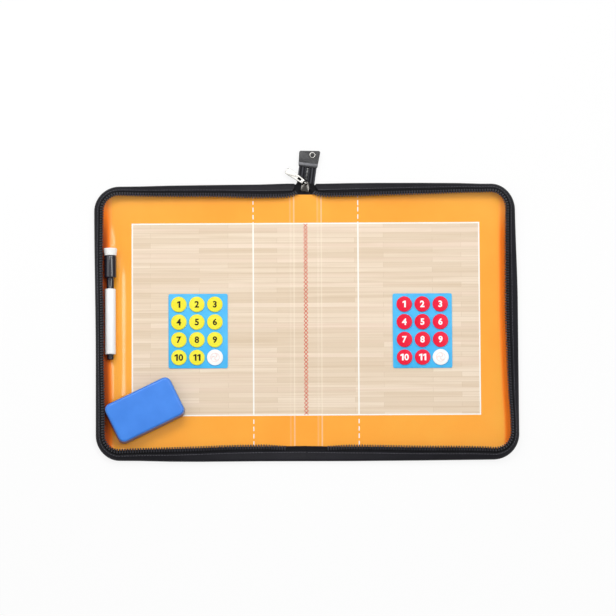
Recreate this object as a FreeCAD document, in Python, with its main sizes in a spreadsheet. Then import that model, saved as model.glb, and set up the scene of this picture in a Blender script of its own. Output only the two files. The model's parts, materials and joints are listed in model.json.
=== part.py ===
import FreeCAD, Part
import Sketcher
import math
import os
import re
from FreeCAD import Vector

os.makedirs("parts", exist_ok=True)
doc = FreeCAD.newDocument("tactics_board")

# Driving sizes, in millimetres and degrees. The sheet holds them and every object reads them there.
sizes = {
    # the case, lying open
    "case_width": 480,
    "case_depth": 314,
    "corner_radius": 29,
    "spine_width": 31,
    "skin_thickness": 1.2,
    "board_thickness": 1.6,
    "steel_thickness": 0.4,
    "lining_thickness": 0.8,
    "board_inset": 8,
    "steel_inset": 12,
    "crease_setback": 3.4,
    "mitre_gap": 0.3,
    # the turned-up edge, the zip tape that leans in from it and the closing gap to the other half
    "edge_radius": 5,
    "edge_wrap": 48,
    "tape_thickness": 1.0,
    "coil_depth": 2.6,
    "coil_thickness": 2.4,
    "coil_bevel": 0.6,
    "closing_gap": 0.6,
    # the lining's upturned rim
    "rim_start": 17,
    "rim_radius": 9,
    "rim_angle": 55,
    # the zip's tail at the head of the spine
    "tail_edge_wrap": 40,
    "tail_inset": 1.6,
    "tail_lean": 7.6,
    "tail_width": 20,
    "tail_slit": 3.0,
    "tail_tape_thickness": 0.8,
    "tail_reach": 32.6,
    "flap_width": 21.2,
    "flap_depth": 6.4,
    "flap_head": 3.6,
    "throat_width": 8,
    "throat_run": 4,
    "notch_width": 13,
    "notch_depth": 12,
    "lining_tail_setback": 7,
    "board_tail_setback": 13,
    # the tail's interlocked teeth
    "tooth_rail": 0.8,
    "tooth_reach": 0.8,
    "tooth_pitch": 1.6,
    "tooth_thickness": 0.55,
    "tooth_height": 1.4,
    "chain_start": 0.9,
    "chain_end": 22.2,
    # the end tab folded over the tail, and its rivet
    "tab_start": 22.6,
    "tab_length": 19,
    "tab_outer_width": 24,
    "tab_end_slope": 6.5,
    "tab_inner_width": 21.4,
    "tab_skin": 1.0,
    "tab_slot_gap": 0.1,
    "tab_corner": 2,
    "rivet_across": 3.5,
    "rivet_from_end": 4.8,
    "rivet_head_radius": 3.9,
    "rivet_head_height": 1.1,
    "rivet_dimple_radius": 2.1,
    "rivet_dimple_depth": 0.5,
    "rivet_shank_radius": 1.8,
    "rivet_foot_height": 0.6,
    "rivet_edge": 0.3,
    # the zip slider
    "slider_length": 11,
    "slider_mouth_width": 9,
    "slider_neck_width": 7.6,
    "slider_shield": 0.9,
    "slider_gap": 0.25,
    "slider_flange": 1.0,
    "slider_corner": 1.2,
    "wedge_width": 2.4,
    "wedge_length": 4,
    "wedge_point": 0.8,
    "arch_start": 0.4,
    "arch_length": 5,
    "arch_bar": 1.2,
    "arch_clear": 2.7,
    "arch_slope": 0.8,
    # the pull
    "pull_eye_radius": 3,
    "pull_eye_bore": 1.8,
    "pull_root": 2.4,
    "pull_length": 27,
    "pull_root_width": 5.4,
    "pull_end_width": 8,
    "pull_end_corner": 2.2,
    "pull_thickness": 1.2,
    "pull_window_start": 6,
    "pull_window_length": 4.4,
    "pull_window_width": 2.6,
    "pull_slack": 0.5,
    "pull_yaw": 151,
    "pull_dip": 10,
    # the two cards and their discs
    "card_width": 67,
    "card_height": 85,
    "card_thickness": 1.0,
    "card_corner": 2.2,
    "left_card_shift_x": 5.75,
    "left_card_shift_y": -9.3,
    "left_discs_shift_x": -1.4,
    "right_card_shift_x": 3.95,
    "right_card_shift_y": -10.1,
    "right_discs_shift_x": 0,
    "disc_radius": 8.8,
    "ball_radius": 9.1,
    "disc_thickness": 1.5,
    "disc_pitch_x": 20.4,
    "disc_pitch_y": 20.2,
    # the eraser
    "eraser_length": 83,
    "eraser_width": 49,
    "eraser_height": 14,
    "eraser_corner": 8,
    "eraser_draft": 5,
    "eraser_crown": 3,
    "eraser_seat": 1.5,
    "eraser_from_side": 57.8,
    "eraser_from_foot": 56.9,
    "eraser_yaw": 25.8,
    "felt_inset": 3.4,
    "felt_height": 5,
    "rest_gap": 0.25,
    # the pen: radii, then lengths from its tail
    "pen_from_side": 19,
    "pen_tail_y": -42.5,
    "barrel_radius": 6.15,
    "bore_radius": 4.7,
    "plug_radius": 3.8,
    "plug_length": 6.1,
    "plug_grip": 6.5,
    "barrel_length": 74.8,
    "barrel_round": 0.8,
    "fit_gap": 0.1,
    "collar_radius": 4.3,
    "collar_length": 12.4,
    "collar_grip": 9,
    "collar_lip": 4,
    "nib_radius": 2.1,
    "nib_reach": 14,
    "nib_tip_radius": 0.9,
    "nib_tip_length": 4,
    "reservoir_radius": 4.2,
    "reservoir_clear": 1.0,
    "cap_radius": 7,
    "cap_length": 25.4,
    "cap_wall": 1.4,
    "cap_round": 0.8,
    "brush_root_radius": 6.8,
    "brush_end_radius": 7.8,
    "brush_length": 8.5,
    "brush_round": 0.6,
}
column_shares = (-1, 0, 1)
row_shares = (1.5, 0.5, -0.5, -1.5)

sheet = doc.addObject("Spreadsheet::Sheet", "Sizes")
for row, (alias, size) in enumerate(sizes.items(), start=1):
    sheet.set(f"A{row}", alias)
    sheet.set(f"B{row}", str(size))
    sheet.setAlias(f"B{row}", alias)
doc.recompute()

alias_pattern = re.compile(r"\b(" + "|".join(sizes) + r")\b")


# Turns a sum of size names into an expression that reads the sheet.
def linked(text):
    return alias_pattern.sub(r"Sizes.\1", text)


# The present value of a sum of size names.
def value(text):
    return float(sheet.evalExpression(linked(text)))


def bind(thing, prop, text):
    thing.setExpression(prop, linked(text))


# Sums used in several places.
half_spine = "(spine_width / 2)"
outer_x = "(case_width / 2)"
outer_y = "(case_depth / 2)"
board_top = "(skin_thickness + board_thickness)"
steel_top = "(skin_thickness + board_thickness + steel_thickness)"
panel_top = "(skin_thickness + board_thickness + steel_thickness + lining_thickness)"
edge_bore = "(edge_radius - skin_thickness)"
tape_mid = "(edge_radius - skin_thickness + tape_thickness / 2)"
wall_top = "(skin_thickness + spine_width / 2 - closing_gap)"
wall_run = (f"(({wall_top} - edge_radius - {tape_mid} * sin(edge_wrap)"
            " - coil_thickness / 2 * sin(edge_wrap)) / cos(edge_wrap))")
tape_run = f"({wall_run} - coil_depth)"
crease_x = f"({half_spine} + crease_setback)"
tail_y = f"({outer_y} - tail_inset)"
tail_top = f"({panel_top} + tail_tape_thickness)"
channel_floor = f"({panel_top} - slider_gap)"
channel_roof = f"({tail_top} + tooth_height + slider_gap)"
arch_seat = f"({channel_roof} + slider_shield)"
arch_axis = f"({arch_seat} + arch_clear + arch_bar / 2)"


# A body whose sketches lie on its own origin planes.
def new_body(name):
    return doc.addObject("PartDesign::Body", name)


def new_sketch(body, name, plane, lift):
    support = [item for item in body.Origin.OriginFeatures if item.Role == plane][0]
    sketch = body.newObject("Sketcher::SketchObject", name)
    sketch.AttachmentSupport = [(support, "")]
    sketch.MapMode = "FlatFace"
    bind(sketch, "AttachmentOffset.Base.z", lift)
    return sketch


def hold(sketch, kind, geometry, point, label, text):
    index = sketch.addConstraint(Sketcher.Constraint(kind, -1, 1, geometry, point, value(text)))
    sketch.renameConstraint(index, label)
    bind(sketch, f"Constraints.{label}", text)


# Draws runs between corners. A corner is (across, up), or (across, up, centre across, centre up, turn)
# where an arc about that centre leads on to the next corner, turn being 1 anticlockwise or -1.
def add_runs(sketch, corners, closed=True):
    places = [Vector(value(corner[0]), value(corner[1]), 0) for corner in corners]
    count = len(corners) if closed else len(corners) - 1
    ends = []
    for index in range(count):
        here = places[index]
        there = places[(index + 1) % len(places)]
        corner = corners[index]
        if len(corner) == 2:
            sketch.addGeometry(Part.LineSegment(here, there), False)
            ends.append((1, 2))
            continue
        centre = Vector(value(corner[2]), value(corner[3]), 0)
        circle = Part.Circle(centre, Vector(0, 0, 1), (here - centre).Length)
        from_here = math.atan2(here.y - centre.y, here.x - centre.x)
        from_there = math.atan2(there.y - centre.y, there.x - centre.x)
        if corner[4] > 0:
            sketch.addGeometry(Part.ArcOfCircle(circle, from_here, from_there), False)
            ends.append((1, 2))
        else:
            sketch.addGeometry(Part.ArcOfCircle(circle, from_there, from_here), False)
            ends.append((2, 1))
    for index in range(count if closed else count - 1):
        after = (index + 1) % count
        sketch.addConstraint(Sketcher.Constraint(
            "Coincident", index, ends[index][1], after, ends[after][0]))
    for index, corner in enumerate(corners):
        run = min(index, count - 1)
        point = ends[run][0] if index < count else ends[run][1]
        hold(sketch, "DistanceX", run, point, f"across{index}", corner[0])
        hold(sketch, "DistanceY", run, point, f"up{index}", corner[1])
        if len(corner) == 5:
            chord = places[(index + 1) % len(places)] - places[index]
            if abs(chord.y) > abs(chord.x):
                hold(sketch, "DistanceX", index, 3, f"centre{index}", corner[2])
            else:
                hold(sketch, "DistanceY", index, 3, f"centre{index}", corner[3])
    return sketch


def outline(body, name, plane, corners, lift="0"):
    return add_runs(new_sketch(body, name, plane, lift), corners)


def path(body, name, plane, corners, lift="0"):
    return add_runs(new_sketch(body, name, plane, lift), corners, closed=False)


def ring(body, name, plane, across, up, radius, lift="0"):
    sketch = new_sketch(body, name, plane, lift)
    centre = Vector(value(across), value(up), 0)
    sketch.addGeometry(Part.Circle(centre, Vector(0, 0, 1), value(radius)), False)
    hold(sketch, "DistanceX", 0, 3, "across", across)
    hold(sketch, "DistanceY", 0, 3, "up", up)
    index = sketch.addConstraint(Sketcher.Constraint("Radius", 0, value(radius)))
    sketch.renameConstraint(index, "radius")
    bind(sketch, "Constraints.radius", radius)
    return sketch


def pad(body, name, sketch, length, both_ways=False):
    feature = body.newObject("PartDesign::Pad", name)
    feature.Profile = sketch
    feature.Midplane = both_ways
    bind(feature, "Length", length)
    sketch.Visibility = False
    doc.recompute()
    return feature


# Cuts a sketch's shape right through, both ways from its plane.
def cut_through(body, name, sketch):
    feature = body.newObject("PartDesign::Pocket", name)
    feature.Profile = sketch
    feature.Type = "ThroughAll"
    feature.Midplane = True
    doc.recompute()
    return feature


def sink(body, name, sketch, depth):
    feature = body.newObject("PartDesign::Pocket", name)
    feature.Profile = sketch
    bind(feature, "Length", depth)
    doc.recompute()
    return feature


def sweep(body, name, profile, spine):
    feature = body.newObject("PartDesign::AdditivePipe", name)
    feature.Profile = profile
    feature.Spine = spine
    doc.recompute()
    return feature


# Turns a sketch about its own upright axis.
def turn(body, name, sketch):
    feature = body.newObject("PartDesign::Revolution", name)
    feature.Profile = sketch
    feature.ReferenceAxis = (sketch, ["V_Axis"])
    doc.recompute()
    return feature


# Rounds or bevels the edges of a body's last feature that a test picks out.
def ease(body, name, kind, size, test):
    base = body.Tip
    picked = [f"Edge{index}" for index, edge in enumerate(base.Shape.Edges, start=1) if test(edge)]
    feature = body.newObject(f"PartDesign::{kind}", name)
    feature.Base = (base, picked)
    bind(feature, "Radius" if kind == "Fillet" else "Size", size)
    doc.recompute()
    return feature


def upright(edge):
    box = edge.BoundBox
    return box.ZLength > max(box.XLength, box.YLength)


# True for edges that lie wholly at a given height.
def level(text):
    height = value(text)
    slim = value("rest_gap") / value("case_width")
    return lambda edge: abs(edge.BoundBox.ZMin - height) < slim and abs(edge.BoundBox.ZMax - height) < slim


# Makes the right half's twin of a left piece.
def twin(piece, name):
    mirrored = doc.addObject("Part::Mirroring", name)
    mirrored.Source = piece
    mirrored.Normal = Vector(1, 0, 0)
    doc.recompute()
    return mirrored


nodes = {}


# The left half's outline, set in from the outermost edge, from the crease round both outer corners.
def half_corners(inset, crease):
    left = f"-{outer_x} + {inset}"
    head = f"{outer_y} - {inset}"
    foot = f"-{outer_y} + {inset}"
    turn_x = f"-{outer_x} + corner_radius"
    turn_head = f"{outer_y} - corner_radius"
    turn_foot = f"-{outer_y} + corner_radius"
    return [
        (f"-{crease}", head),
        (turn_x, head, turn_x, turn_head, 1),
        (left, turn_head),
        (left, turn_foot, turn_x, turn_foot, 1),
        (turn_x, foot),
        (f"-{crease}", foot),
    ]


def half_sheet(name, inset, crease, floor, thickness):
    body = new_body(name)
    shape = outline(body, f"{name}_outline", "XY_Plane", half_corners(inset, crease), floor)
    pad(body, f"{name}_pad", shape, thickness)
    return body


# Cuts a left piece back to the 45 degree plane through the crease, so the halves can close.
def mitre_half(body, name):
    near = f"-{half_spine} - mitre_gap"
    reach = "spine_width"
    wedge = outline(body, f"{name}_mitre_outline", "XZ_Plane", [
        (near, "skin_thickness"),
        (f"-{half_spine} + {reach}", "skin_thickness"),
        (f"-{half_spine} + {reach}", f"skin_thickness + {reach}"),
        (f"{near} - {reach}", f"skin_thickness + {reach}"),
    ])
    cut_through(body, f"{name}_mitre", wedge)


# Sweeps a profile, drawn as (inward, up) corners at the head end of the crease, round the half.
def half_sweep(body, name, profile):
    along = path(body, f"{name}_path", "XY_Plane", half_corners("0", half_spine))
    section = outline(body, f"{name}_section", "YZ_Plane", profile, f"-{half_spine}")
    return sweep(body, f"{name}_sweep", section, along)


# A point on the edge's arc: radius and angle above the outermost point, as (across, up) at the head.
def edge_point(radius, angle):
    inward = f"edge_radius - {radius} * cos({angle})"
    return f"{outer_y} - ({inward})", f"edge_radius + {radius} * sin({angle})"


# A point on the leaning tape: run up the lean from the edge's end, and offset outward from its middle.
def tape_point(run, offset):
    inward = f"edge_radius - ({tape_mid} + {offset}) * cos(edge_wrap) + ({run}) * sin(edge_wrap)"
    up = f"edge_radius + ({tape_mid} + {offset}) * sin(edge_wrap) + ({run}) * cos(edge_wrap)"
    return f"{outer_y} - ({inward})", up


edge_centre = (f"{outer_y} - edge_radius", "edge_radius")


# The strip that turns up round the edge, from the cover's rim to an angle above the outermost point.
def edge_strip(angle):
    return [
        (*edge_point("edge_radius", "-90"), *edge_centre, 1),
        edge_point("edge_radius", angle),
        (*edge_point(edge_bore, angle), *edge_centre, -1),
        edge_point(edge_bore, "-90"),
    ]


# The left half's layers, from the outer skin up.
nodes["left_cover"] = half_sheet("left_cover", "edge_radius", half_spine, "0", "skin_thickness")
nodes["left_board"] = half_sheet("left_board", "board_inset", crease_x, "skin_thickness", "board_thickness")
nodes["left_steel_sheet"] = half_sheet(
    "left_steel_sheet", "steel_inset", crease_x, board_top, "steel_thickness")

# The printed lining is a flat sheet with an upturned rim.
lining = half_sheet("left_lining", "rim_start", crease_x, steel_top, "lining_thickness")
rim_centre = (f"{outer_y} - rim_start", f"{panel_top} + rim_radius")


def rim_point(radius, angle):
    return (f"{outer_y} - rim_start + {radius} * sin({angle})",
            f"{panel_top} + rim_radius - {radius} * cos({angle})")


rim_under = "(rim_radius + lining_thickness)"
half_sweep(lining, "left_rim", [
    (*rim_point(rim_under, "0"), *rim_centre, 1),
    rim_point(rim_under, "rim_angle"),
    (*rim_point("rim_radius", "rim_angle"), *rim_centre, -1),
    rim_point("rim_radius", "0"),
])
mitre_half(lining, "left_lining")
nodes["left_lining"] = lining

# The turned-up edge, the zip tape that leans in from it and the bead that stands for the tape's coil.
gusset = new_body("left_gusset")
half_sweep(gusset, "left_gusset", edge_strip("edge_wrap"))
mitre_half(gusset, "left_gusset")
nodes["left_gusset"] = gusset

tape = new_body("left_zip_tape")
half_sweep(tape, "left_zip_tape", [
    tape_point("0", "tape_thickness / 2"),
    tape_point("0", "-tape_thickness / 2"),
    tape_point(tape_run, "-tape_thickness / 2"),
    tape_point(tape_run, "tape_thickness / 2"),
])
mitre_half(tape, "left_zip_tape")
nodes["left_zip_tape"] = tape

coil = new_body("left_zip_coil")
half_sweep(coil, "left_zip_coil", [
    tape_point(tape_run, "coil_thickness / 2 - coil_bevel"),
    tape_point(tape_run, "-coil_thickness / 2 + coil_bevel"),
    tape_point(f"{tape_run} + coil_bevel", "-coil_thickness / 2"),
    tape_point(f"{wall_run} - coil_bevel", "-coil_thickness / 2"),
    tape_point(wall_run, "-coil_thickness / 2 + coil_bevel"),
    tape_point(wall_run, "coil_thickness / 2 - coil_bevel"),
    tape_point(f"{wall_run} - coil_bevel", "coil_thickness / 2"),
    tape_point(f"{tape_run} + coil_bevel", "coil_thickness / 2"),
])
mitre_half(coil, "left_zip_coil")
nodes["left_zip_coil"] = coil

for piece in ("cover", "board", "steel_sheet", "lining", "gusset", "zip_tape", "zip_coil"):
    nodes[f"right_{piece}"] = twin(nodes[f"left_{piece}"], f"right_{piece}")


# The spine's layers, which stop short of the tail's slider.
def spine_sheet(name, side, head, foot, floor, thickness):
    body = new_body(name)
    shape = outline(body, f"{name}_outline", "XY_Plane", [
        (f"-{side}", foot),
        (side, foot),
        (side, head),
        (f"-{side}", head),
    ], floor)
    pad(body, f"{name}_pad", shape, thickness)
    return body


spine_side = f"({half_spine} - crease_setback)"
nodes["spine_cover"] = spine_sheet(
    "spine_cover", half_spine, f"{outer_y} - edge_radius", f"-{outer_y} + edge_radius", "0", "skin_thickness")
nodes["spine_board"] = spine_sheet(
    "spine_board", spine_side, f"{outer_y} - board_tail_setback", f"-{outer_y} + board_inset",
    "skin_thickness", f"{steel_top} - skin_thickness")
spine_lining = spine_sheet(
    "spine_lining", spine_side, f"{outer_y} - lining_tail_setback", f"-{outer_y} + rim_start",
    steel_top, "lining_thickness")
notch = outline(spine_lining, "spine_lining_notch_outline", "XY_Plane", [
    ("-notch_width / 2", f"{outer_y} - notch_depth"),
    ("notch_width / 2", f"{outer_y} - notch_depth"),
    ("notch_width / 2", outer_y),
    ("-notch_width / 2", outer_y),
])
cut_through(spine_lining, "spine_lining_notch", notch)
nodes["spine_lining"] = spine_lining


# Cuts a spine piece back to the 45 degree planes through both creases.
def mitre_spine(body, name):
    for side, sign in (("left", "-"), ("right", "")):
        near = f"{sign}({half_spine} - mitre_gap)"
        inner = f"{sign}({half_spine} - mitre_gap - {half_spine})"
        outer = f"{sign}({half_spine} + {half_spine})"
        wedge = outline(body, f"{name}_{side}_mitre_outline", "XZ_Plane", [
            (near, "skin_thickness"),
            (outer, "skin_thickness"),
            (outer, f"skin_thickness + {half_spine}"),
            (inner, f"skin_thickness + {half_spine}"),
        ])
        cut_through(body, f"{name}_{side}_mitre", wedge)


# At the head the skin turns up only a little, under the slider.
tail_gusset = new_body("spine_tail_gusset")
tail_section = outline(tail_gusset, "tail_gusset_section", "YZ_Plane", edge_strip("-tail_edge_wrap"))
pad(tail_gusset, "tail_gusset_pad", tail_section, "spine_width", both_ways=True)
mitre_spine(tail_gusset, "tail_gusset")
nodes["spine_tail_gusset"] = tail_gusset

# At the foot the edge and the zip's end stand up as one gusset between the creases.
foot_gusset = new_body("spine_foot_gusset")


def at_foot(corner):
    return tuple(f"-({part})" if index in (0, 2) else part for index, part in enumerate(corner))


foot_section = outline(foot_gusset, "foot_gusset_section", "YZ_Plane", [
    at_foot(edge_point(edge_bore, "-90")) + at_foot(edge_centre) + (-1,),
    at_foot(edge_point(edge_bore, "edge_wrap")),
    at_foot(tape_point(wall_run, "-tape_thickness / 2")),
    at_foot(tape_point(wall_run, "skin_thickness - tape_thickness / 2")),
    at_foot(edge_point("edge_radius", "edge_wrap")) + at_foot(edge_centre) + (1,),
    at_foot(edge_point("edge_radius", "-90")),
])
pad(foot_gusset, "foot_gusset_pad", foot_section, "spine_width", both_ways=True)
mitre_spine(foot_gusset, "foot_gusset")
nodes["spine_foot_gusset"] = foot_gusset


# The tail's pieces are drawn about the slider's middle, along the tail, and then set leaning.
def set_along_tail(thing):
    bind(thing, "Placement.Base.y", tail_y)
    bind(thing, "Placement.Rotation.Angle", "-tail_lean")


# Two tapes, each with a flap that reaches to the spine's lining.
def tail_tape_side(side, sign):
    body = new_body(f"tail_tape_{side}")
    corners = [
        (f"{sign}tail_slit / 2", "tail_reach"),
        (f"{sign}tail_width / 2", "tail_reach"),
        (f"{sign}tail_width / 2", "flap_head"),
        (f"{sign}flap_width / 2", "flap_head"),
        (f"{sign}flap_width / 2", "-flap_depth"),
        (f"{sign}throat_width / 2", "-throat_run / 2"),
        (f"{sign}tail_slit / 2", "throat_run / 2"),
    ]
    shape = outline(body, f"tail_tape_{side}_outline", "XY_Plane", corners, panel_top)
    pad(body, f"tail_tape_{side}_pad", shape, "tail_tape_thickness")
    set_along_tail(body)
    return body


# One side's teeth: a rail on the tape's edge and teeth that reach past the middle between the other's.
def tooth_side(side, sign, shift):
    body = new_body(f"tail_teeth_{side}")
    rail_in = f"{sign}tail_slit / 2"
    rail_out = f"{sign}(tail_slit / 2 + tooth_rail)"
    tip = f"{sign}(-tooth_reach)"
    rail = outline(body, f"tail_rail_{side}_outline", "XY_Plane", [
        (rail_in, "chain_start"),
        (rail_out, "chain_start"),
        (rail_out, "chain_end"),
        (rail_in, "chain_end"),
    ], tail_top)
    pad(body, f"tail_rail_{side}", rail, "tooth_height")
    low = f"chain_start + {shift}"
    high = f"chain_start + {shift} + tooth_thickness"
    tooth = outline(body, f"tail_tooth_{side}_outline", "XY_Plane", [
        (tip, low),
        (rail_in, low),
        (rail_in, high),
        (tip, high),
    ], tail_top)
    feature = pad(body, f"tail_tooth_{side}", tooth, "tooth_height")
    pattern = body.newObject("PartDesign::LinearPattern", f"tail_tooth_{side}_row")
    pattern.Originals = [feature]
    pattern.Direction = (tooth, ["V_Axis"])
    count = "floor((chain_end - chain_start) / tooth_pitch)"
    bind(pattern, "Occurrences", count)
    bind(pattern, "Length", f"({count} - 1) * tooth_pitch")
    body.Tip = pattern
    set_along_tail(body)
    doc.recompute()
    return body


def together(name, pieces):
    group = doc.addObject("Part::Compound", name)
    group.Links = pieces
    doc.recompute()
    return group


sides = (("left", "-"), ("right", "1 * "))
nodes["tail_tape"] = together("tail_tape", [tail_tape_side(side, sign) for side, sign in sides])
shifts = {"left": "0", "right": "tooth_pitch / 2"}
nodes["tail_coil"] = together("tail_coil", [tooth_side(side, sign, shifts[side]) for side, sign in sides])

# The end tab, folded over the tail: a tapered pad with a slot for the tapes and a hole for its rivet.
tab = new_body("end_tab")
tab_end = "(tab_start + tab_length)"
tab_floor = f"({panel_top} - tab_slot_gap - tab_skin)"
tab_height = "(2 * (tab_skin + tab_slot_gap) + tail_tape_thickness)"
tab_shape = outline(tab, "end_tab_outline", "XY_Plane", [
    ("-tab_inner_width / 2", "tab_start"),
    ("tab_inner_width / 2", "tab_start"),
    ("tab_outer_width / 2", f"{tab_end} + tab_outer_width / 2 * tan(tab_end_slope)"),
    ("-tab_outer_width / 2", f"{tab_end} - tab_outer_width / 2 * tan(tab_end_slope)"),
], tab_floor)
pad(tab, "end_tab_pad", tab_shape, tab_height)
ease(tab, "end_tab_corners", "Fillet", "tab_corner", upright)
slot = outline(tab, "end_tab_slot_outline", "YZ_Plane", [
    ("tab_start - tab_skin", f"{panel_top} - tab_slot_gap"),
    ("tail_reach + tab_slot_gap", f"{panel_top} - tab_slot_gap"),
    ("tail_reach + tab_slot_gap", f"{tail_top} + tab_slot_gap"),
    ("tab_start - tab_skin", f"{tail_top} + tab_slot_gap"),
])
cut_through(tab, "end_tab_slot", slot)
rivet_y = f"({tab_end} - rivet_from_end)"
hole = ring(tab, "end_tab_hole_outline", "XY_Plane", "rivet_across", rivet_y, "rivet_shank_radius")
cut_through(tab, "end_tab_hole", hole)
set_along_tail(tab)
nodes["end_tab"] = tab

# The rivet: a dimpled head, a shank through the tab and a turned-over foot.
rivet = new_body("tab_rivet")
head_seat = f"({tab_floor} + {tab_height})"
rivet_profile = outline(rivet, "tab_rivet_profile", "XZ_Plane", [
    ("0", f"{tab_floor} - rivet_foot_height"),
    ("rivet_head_radius - rivet_edge", f"{tab_floor} - rivet_foot_height"),
    ("rivet_head_radius - rivet_edge", tab_floor),
    ("rivet_shank_radius", tab_floor),
    ("rivet_shank_radius", head_seat),
    ("rivet_head_radius", head_seat),
    ("rivet_head_radius", f"{head_seat} + rivet_edge"),
    ("rivet_head_radius - rivet_head_height + rivet_edge", f"{head_seat} + rivet_head_height"),
    ("rivet_dimple_radius + rivet_dimple_depth", f"{head_seat} + rivet_head_height"),
    ("rivet_dimple_radius", f"{head_seat} + rivet_head_height - rivet_dimple_depth"),
    ("0", f"{head_seat} + rivet_head_height - rivet_dimple_depth"),
])
turn(rivet, "tab_rivet_turn", rivet_profile)


# Where a point (across, along) of the leaning tail lies in the case.
def on_tail(across, along):
    return (f"({across}) * cos(tail_lean) + ({along}) * sin(tail_lean)",
            f"{tail_y} - ({across}) * sin(tail_lean) + ({along}) * cos(tail_lean)")


rivet_place = on_tail("rivet_across", rivet_y)
bind(rivet, "Placement.Base.x", rivet_place[0])
bind(rivet, "Placement.Base.y", rivet_place[1])
nodes["tab_rivet"] = rivet

# The slider: two shields joined by a wedge, flanges that guide the teeth and an arch for the pull.
slider = new_body("slider_body")
mouth = "(-slider_length / 2)"
neck = "(slider_length / 2)"
shield_corners = [
    ("-slider_mouth_width / 2", mouth),
    ("slider_mouth_width / 2", mouth),
    ("slider_mouth_width / 2", f"{mouth} + wedge_length"),
    ("slider_neck_width / 2", neck),
    ("-slider_neck_width / 2", neck),
    ("-slider_mouth_width / 2", f"{mouth} + wedge_length"),
]
floor_shape = outline(slider, "slider_floor_outline", "XY_Plane", shield_corners,
                      f"{channel_floor} - slider_shield")
pad(slider, "slider_floor", floor_shape, "slider_shield")
wedge_shape = outline(slider, "slider_wedge_outline", "XY_Plane", [
    ("-wedge_width / 2", mouth),
    ("wedge_width / 2", mouth),
    ("wedge_point / 2", f"{mouth} + wedge_length"),
    ("-wedge_point / 2", f"{mouth} + wedge_length"),
], channel_floor)
pad(slider, "slider_wedge", wedge_shape, f"{channel_roof} - {channel_floor}")
roof_shape = outline(slider, "slider_roof_outline", "XY_Plane", shield_corners, channel_roof)
pad(slider, "slider_roof", roof_shape, "slider_shield")
flange_floor = f"({tail_top} + slider_gap)"
for side, sign in sides:
    flange = outline(slider, f"slider_{side}_flange_outline", "XY_Plane", [
        (f"{sign}(slider_mouth_width / 2 - slider_flange)", f"{mouth} + wedge_length"),
        (f"{sign}slider_mouth_width / 2", f"{mouth} + wedge_length"),
        (f"{sign}slider_neck_width / 2", neck),
        (f"{sign}(slider_neck_width / 2 - slider_flange)", neck),
    ], flange_floor)
    pad(slider, f"slider_{side}_flange", flange, f"{channel_roof} - {flange_floor}")
ease(slider, "slider_corners", "Fillet", "slider_corner",
     lambda edge: upright(edge) and abs(edge.BoundBox.XMin) > value("slider_mouth_width / 2 - rivet_edge")
     and edge.BoundBox.YMax < value(f"{mouth} + rivet_edge"))
arch_end = "(arch_start + arch_length)"
arch_top = f"({arch_seat} + arch_clear + arch_bar)"
arch_shape = outline(slider, "slider_arch_outline", "YZ_Plane", [
    ("arch_start", arch_seat),
    ("arch_start + arch_bar", arch_seat),
    ("arch_start + arch_bar", f"{arch_seat} + arch_clear"),
    (f"{arch_end} - arch_bar", f"{arch_seat} + arch_clear"),
    (f"{arch_end} - arch_bar", arch_seat),
    (arch_end, arch_seat),
    (arch_end, f"{arch_top} - arch_slope"),
    (f"{arch_end} - arch_slope", arch_top),
    ("arch_start + arch_slope", arch_top),
    ("arch_start", f"{arch_top} - arch_slope"),
])
pad(slider, "slider_arch", arch_shape, "arch_bar", both_ways=True)
set_along_tail(slider)
nodes["slider_body"] = slider

# The pull: an eye round the arch's bar and a widening tab, drawn along X from the eye's middle.
pull = new_body("zip_pull")
eye = ring(pull, "pull_eye_outline", "XZ_Plane", "0", "0", "pull_eye_radius")
pad(pull, "pull_eye", eye, "pull_thickness", both_ways=True)
pull_shape = outline(pull, "pull_tab_outline", "XY_Plane", [
    ("pull_root", "-pull_root_width / 2"),
    ("pull_length", "-pull_end_width / 2"),
    ("pull_length", "pull_end_width / 2"),
    ("pull_root", "pull_root_width / 2"),
])
pad(pull, "pull_tab", pull_shape, "pull_thickness", both_ways=True)
ease(pull, "pull_corners", "Fillet", "pull_end_corner",
     lambda edge: upright(edge) and edge.BoundBox.XMin > value("pull_length - pull_root"))
window = outline(pull, "pull_window_outline", "XY_Plane", [
    ("pull_window_start", "-pull_window_width / 2"),
    ("pull_window_start + pull_window_length", "-pull_window_width / 2"),
    ("pull_window_start + pull_window_length", "pull_window_width / 2"),
    ("pull_window_start", "pull_window_width / 2"),
])
cut_through(pull, "pull_window", window)
bore = ring(pull, "pull_bore_outline", "XZ_Plane", "0", "0", "pull_eye_bore")
cut_through(pull, "pull_bore", bore)
ring_across = "(pull_slack * cos(pull_yaw))"
ring_along = "((arch_start + arch_start + arch_length) / 2 + pull_slack * sin(pull_yaw))"
ring_place = on_tail(ring_across, ring_along)
bind(pull, "Placement.Base.x", ring_place[0])
bind(pull, "Placement.Base.y", ring_place[1])
bind(pull, "Placement.Base.z", arch_axis)
bind(pull, "Placement.Rotation", "create(<<rotation>>; pull_yaw - tail_lean; pull_dip; 0)")
nodes["zip_pull"] = pull


# The cards and the discs that lie on them.
def card(name, across, up):
    body = new_body(name)
    shape = outline(body, f"{name}_outline", "XY_Plane", [
        ("-card_width / 2", "-card_height / 2"),
        ("card_width / 2", "-card_height / 2"),
        ("card_width / 2", "card_height / 2"),
        ("-card_width / 2", "card_height / 2"),
    ])
    pad(body, f"{name}_pad", shape, "card_thickness")
    ease(body, f"{name}_corners", "Fillet", "card_corner", upright)
    bind(body, "Placement.Base.x", across)
    bind(body, "Placement.Base.y", up)
    bind(body, "Placement.Base.z", panel_top)
    return body


def disc(name, radius, across, up):
    body = new_body(name)
    pad(body, f"{name}_pad", ring(body, f"{name}_outline", "XY_Plane", "0", "0", radius), "disc_thickness")
    bind(body, "Placement.Base.x", across)
    bind(body, "Placement.Base.y", up)
    bind(body, "Placement.Base.z", f"{panel_top} + card_thickness")
    return body


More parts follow.
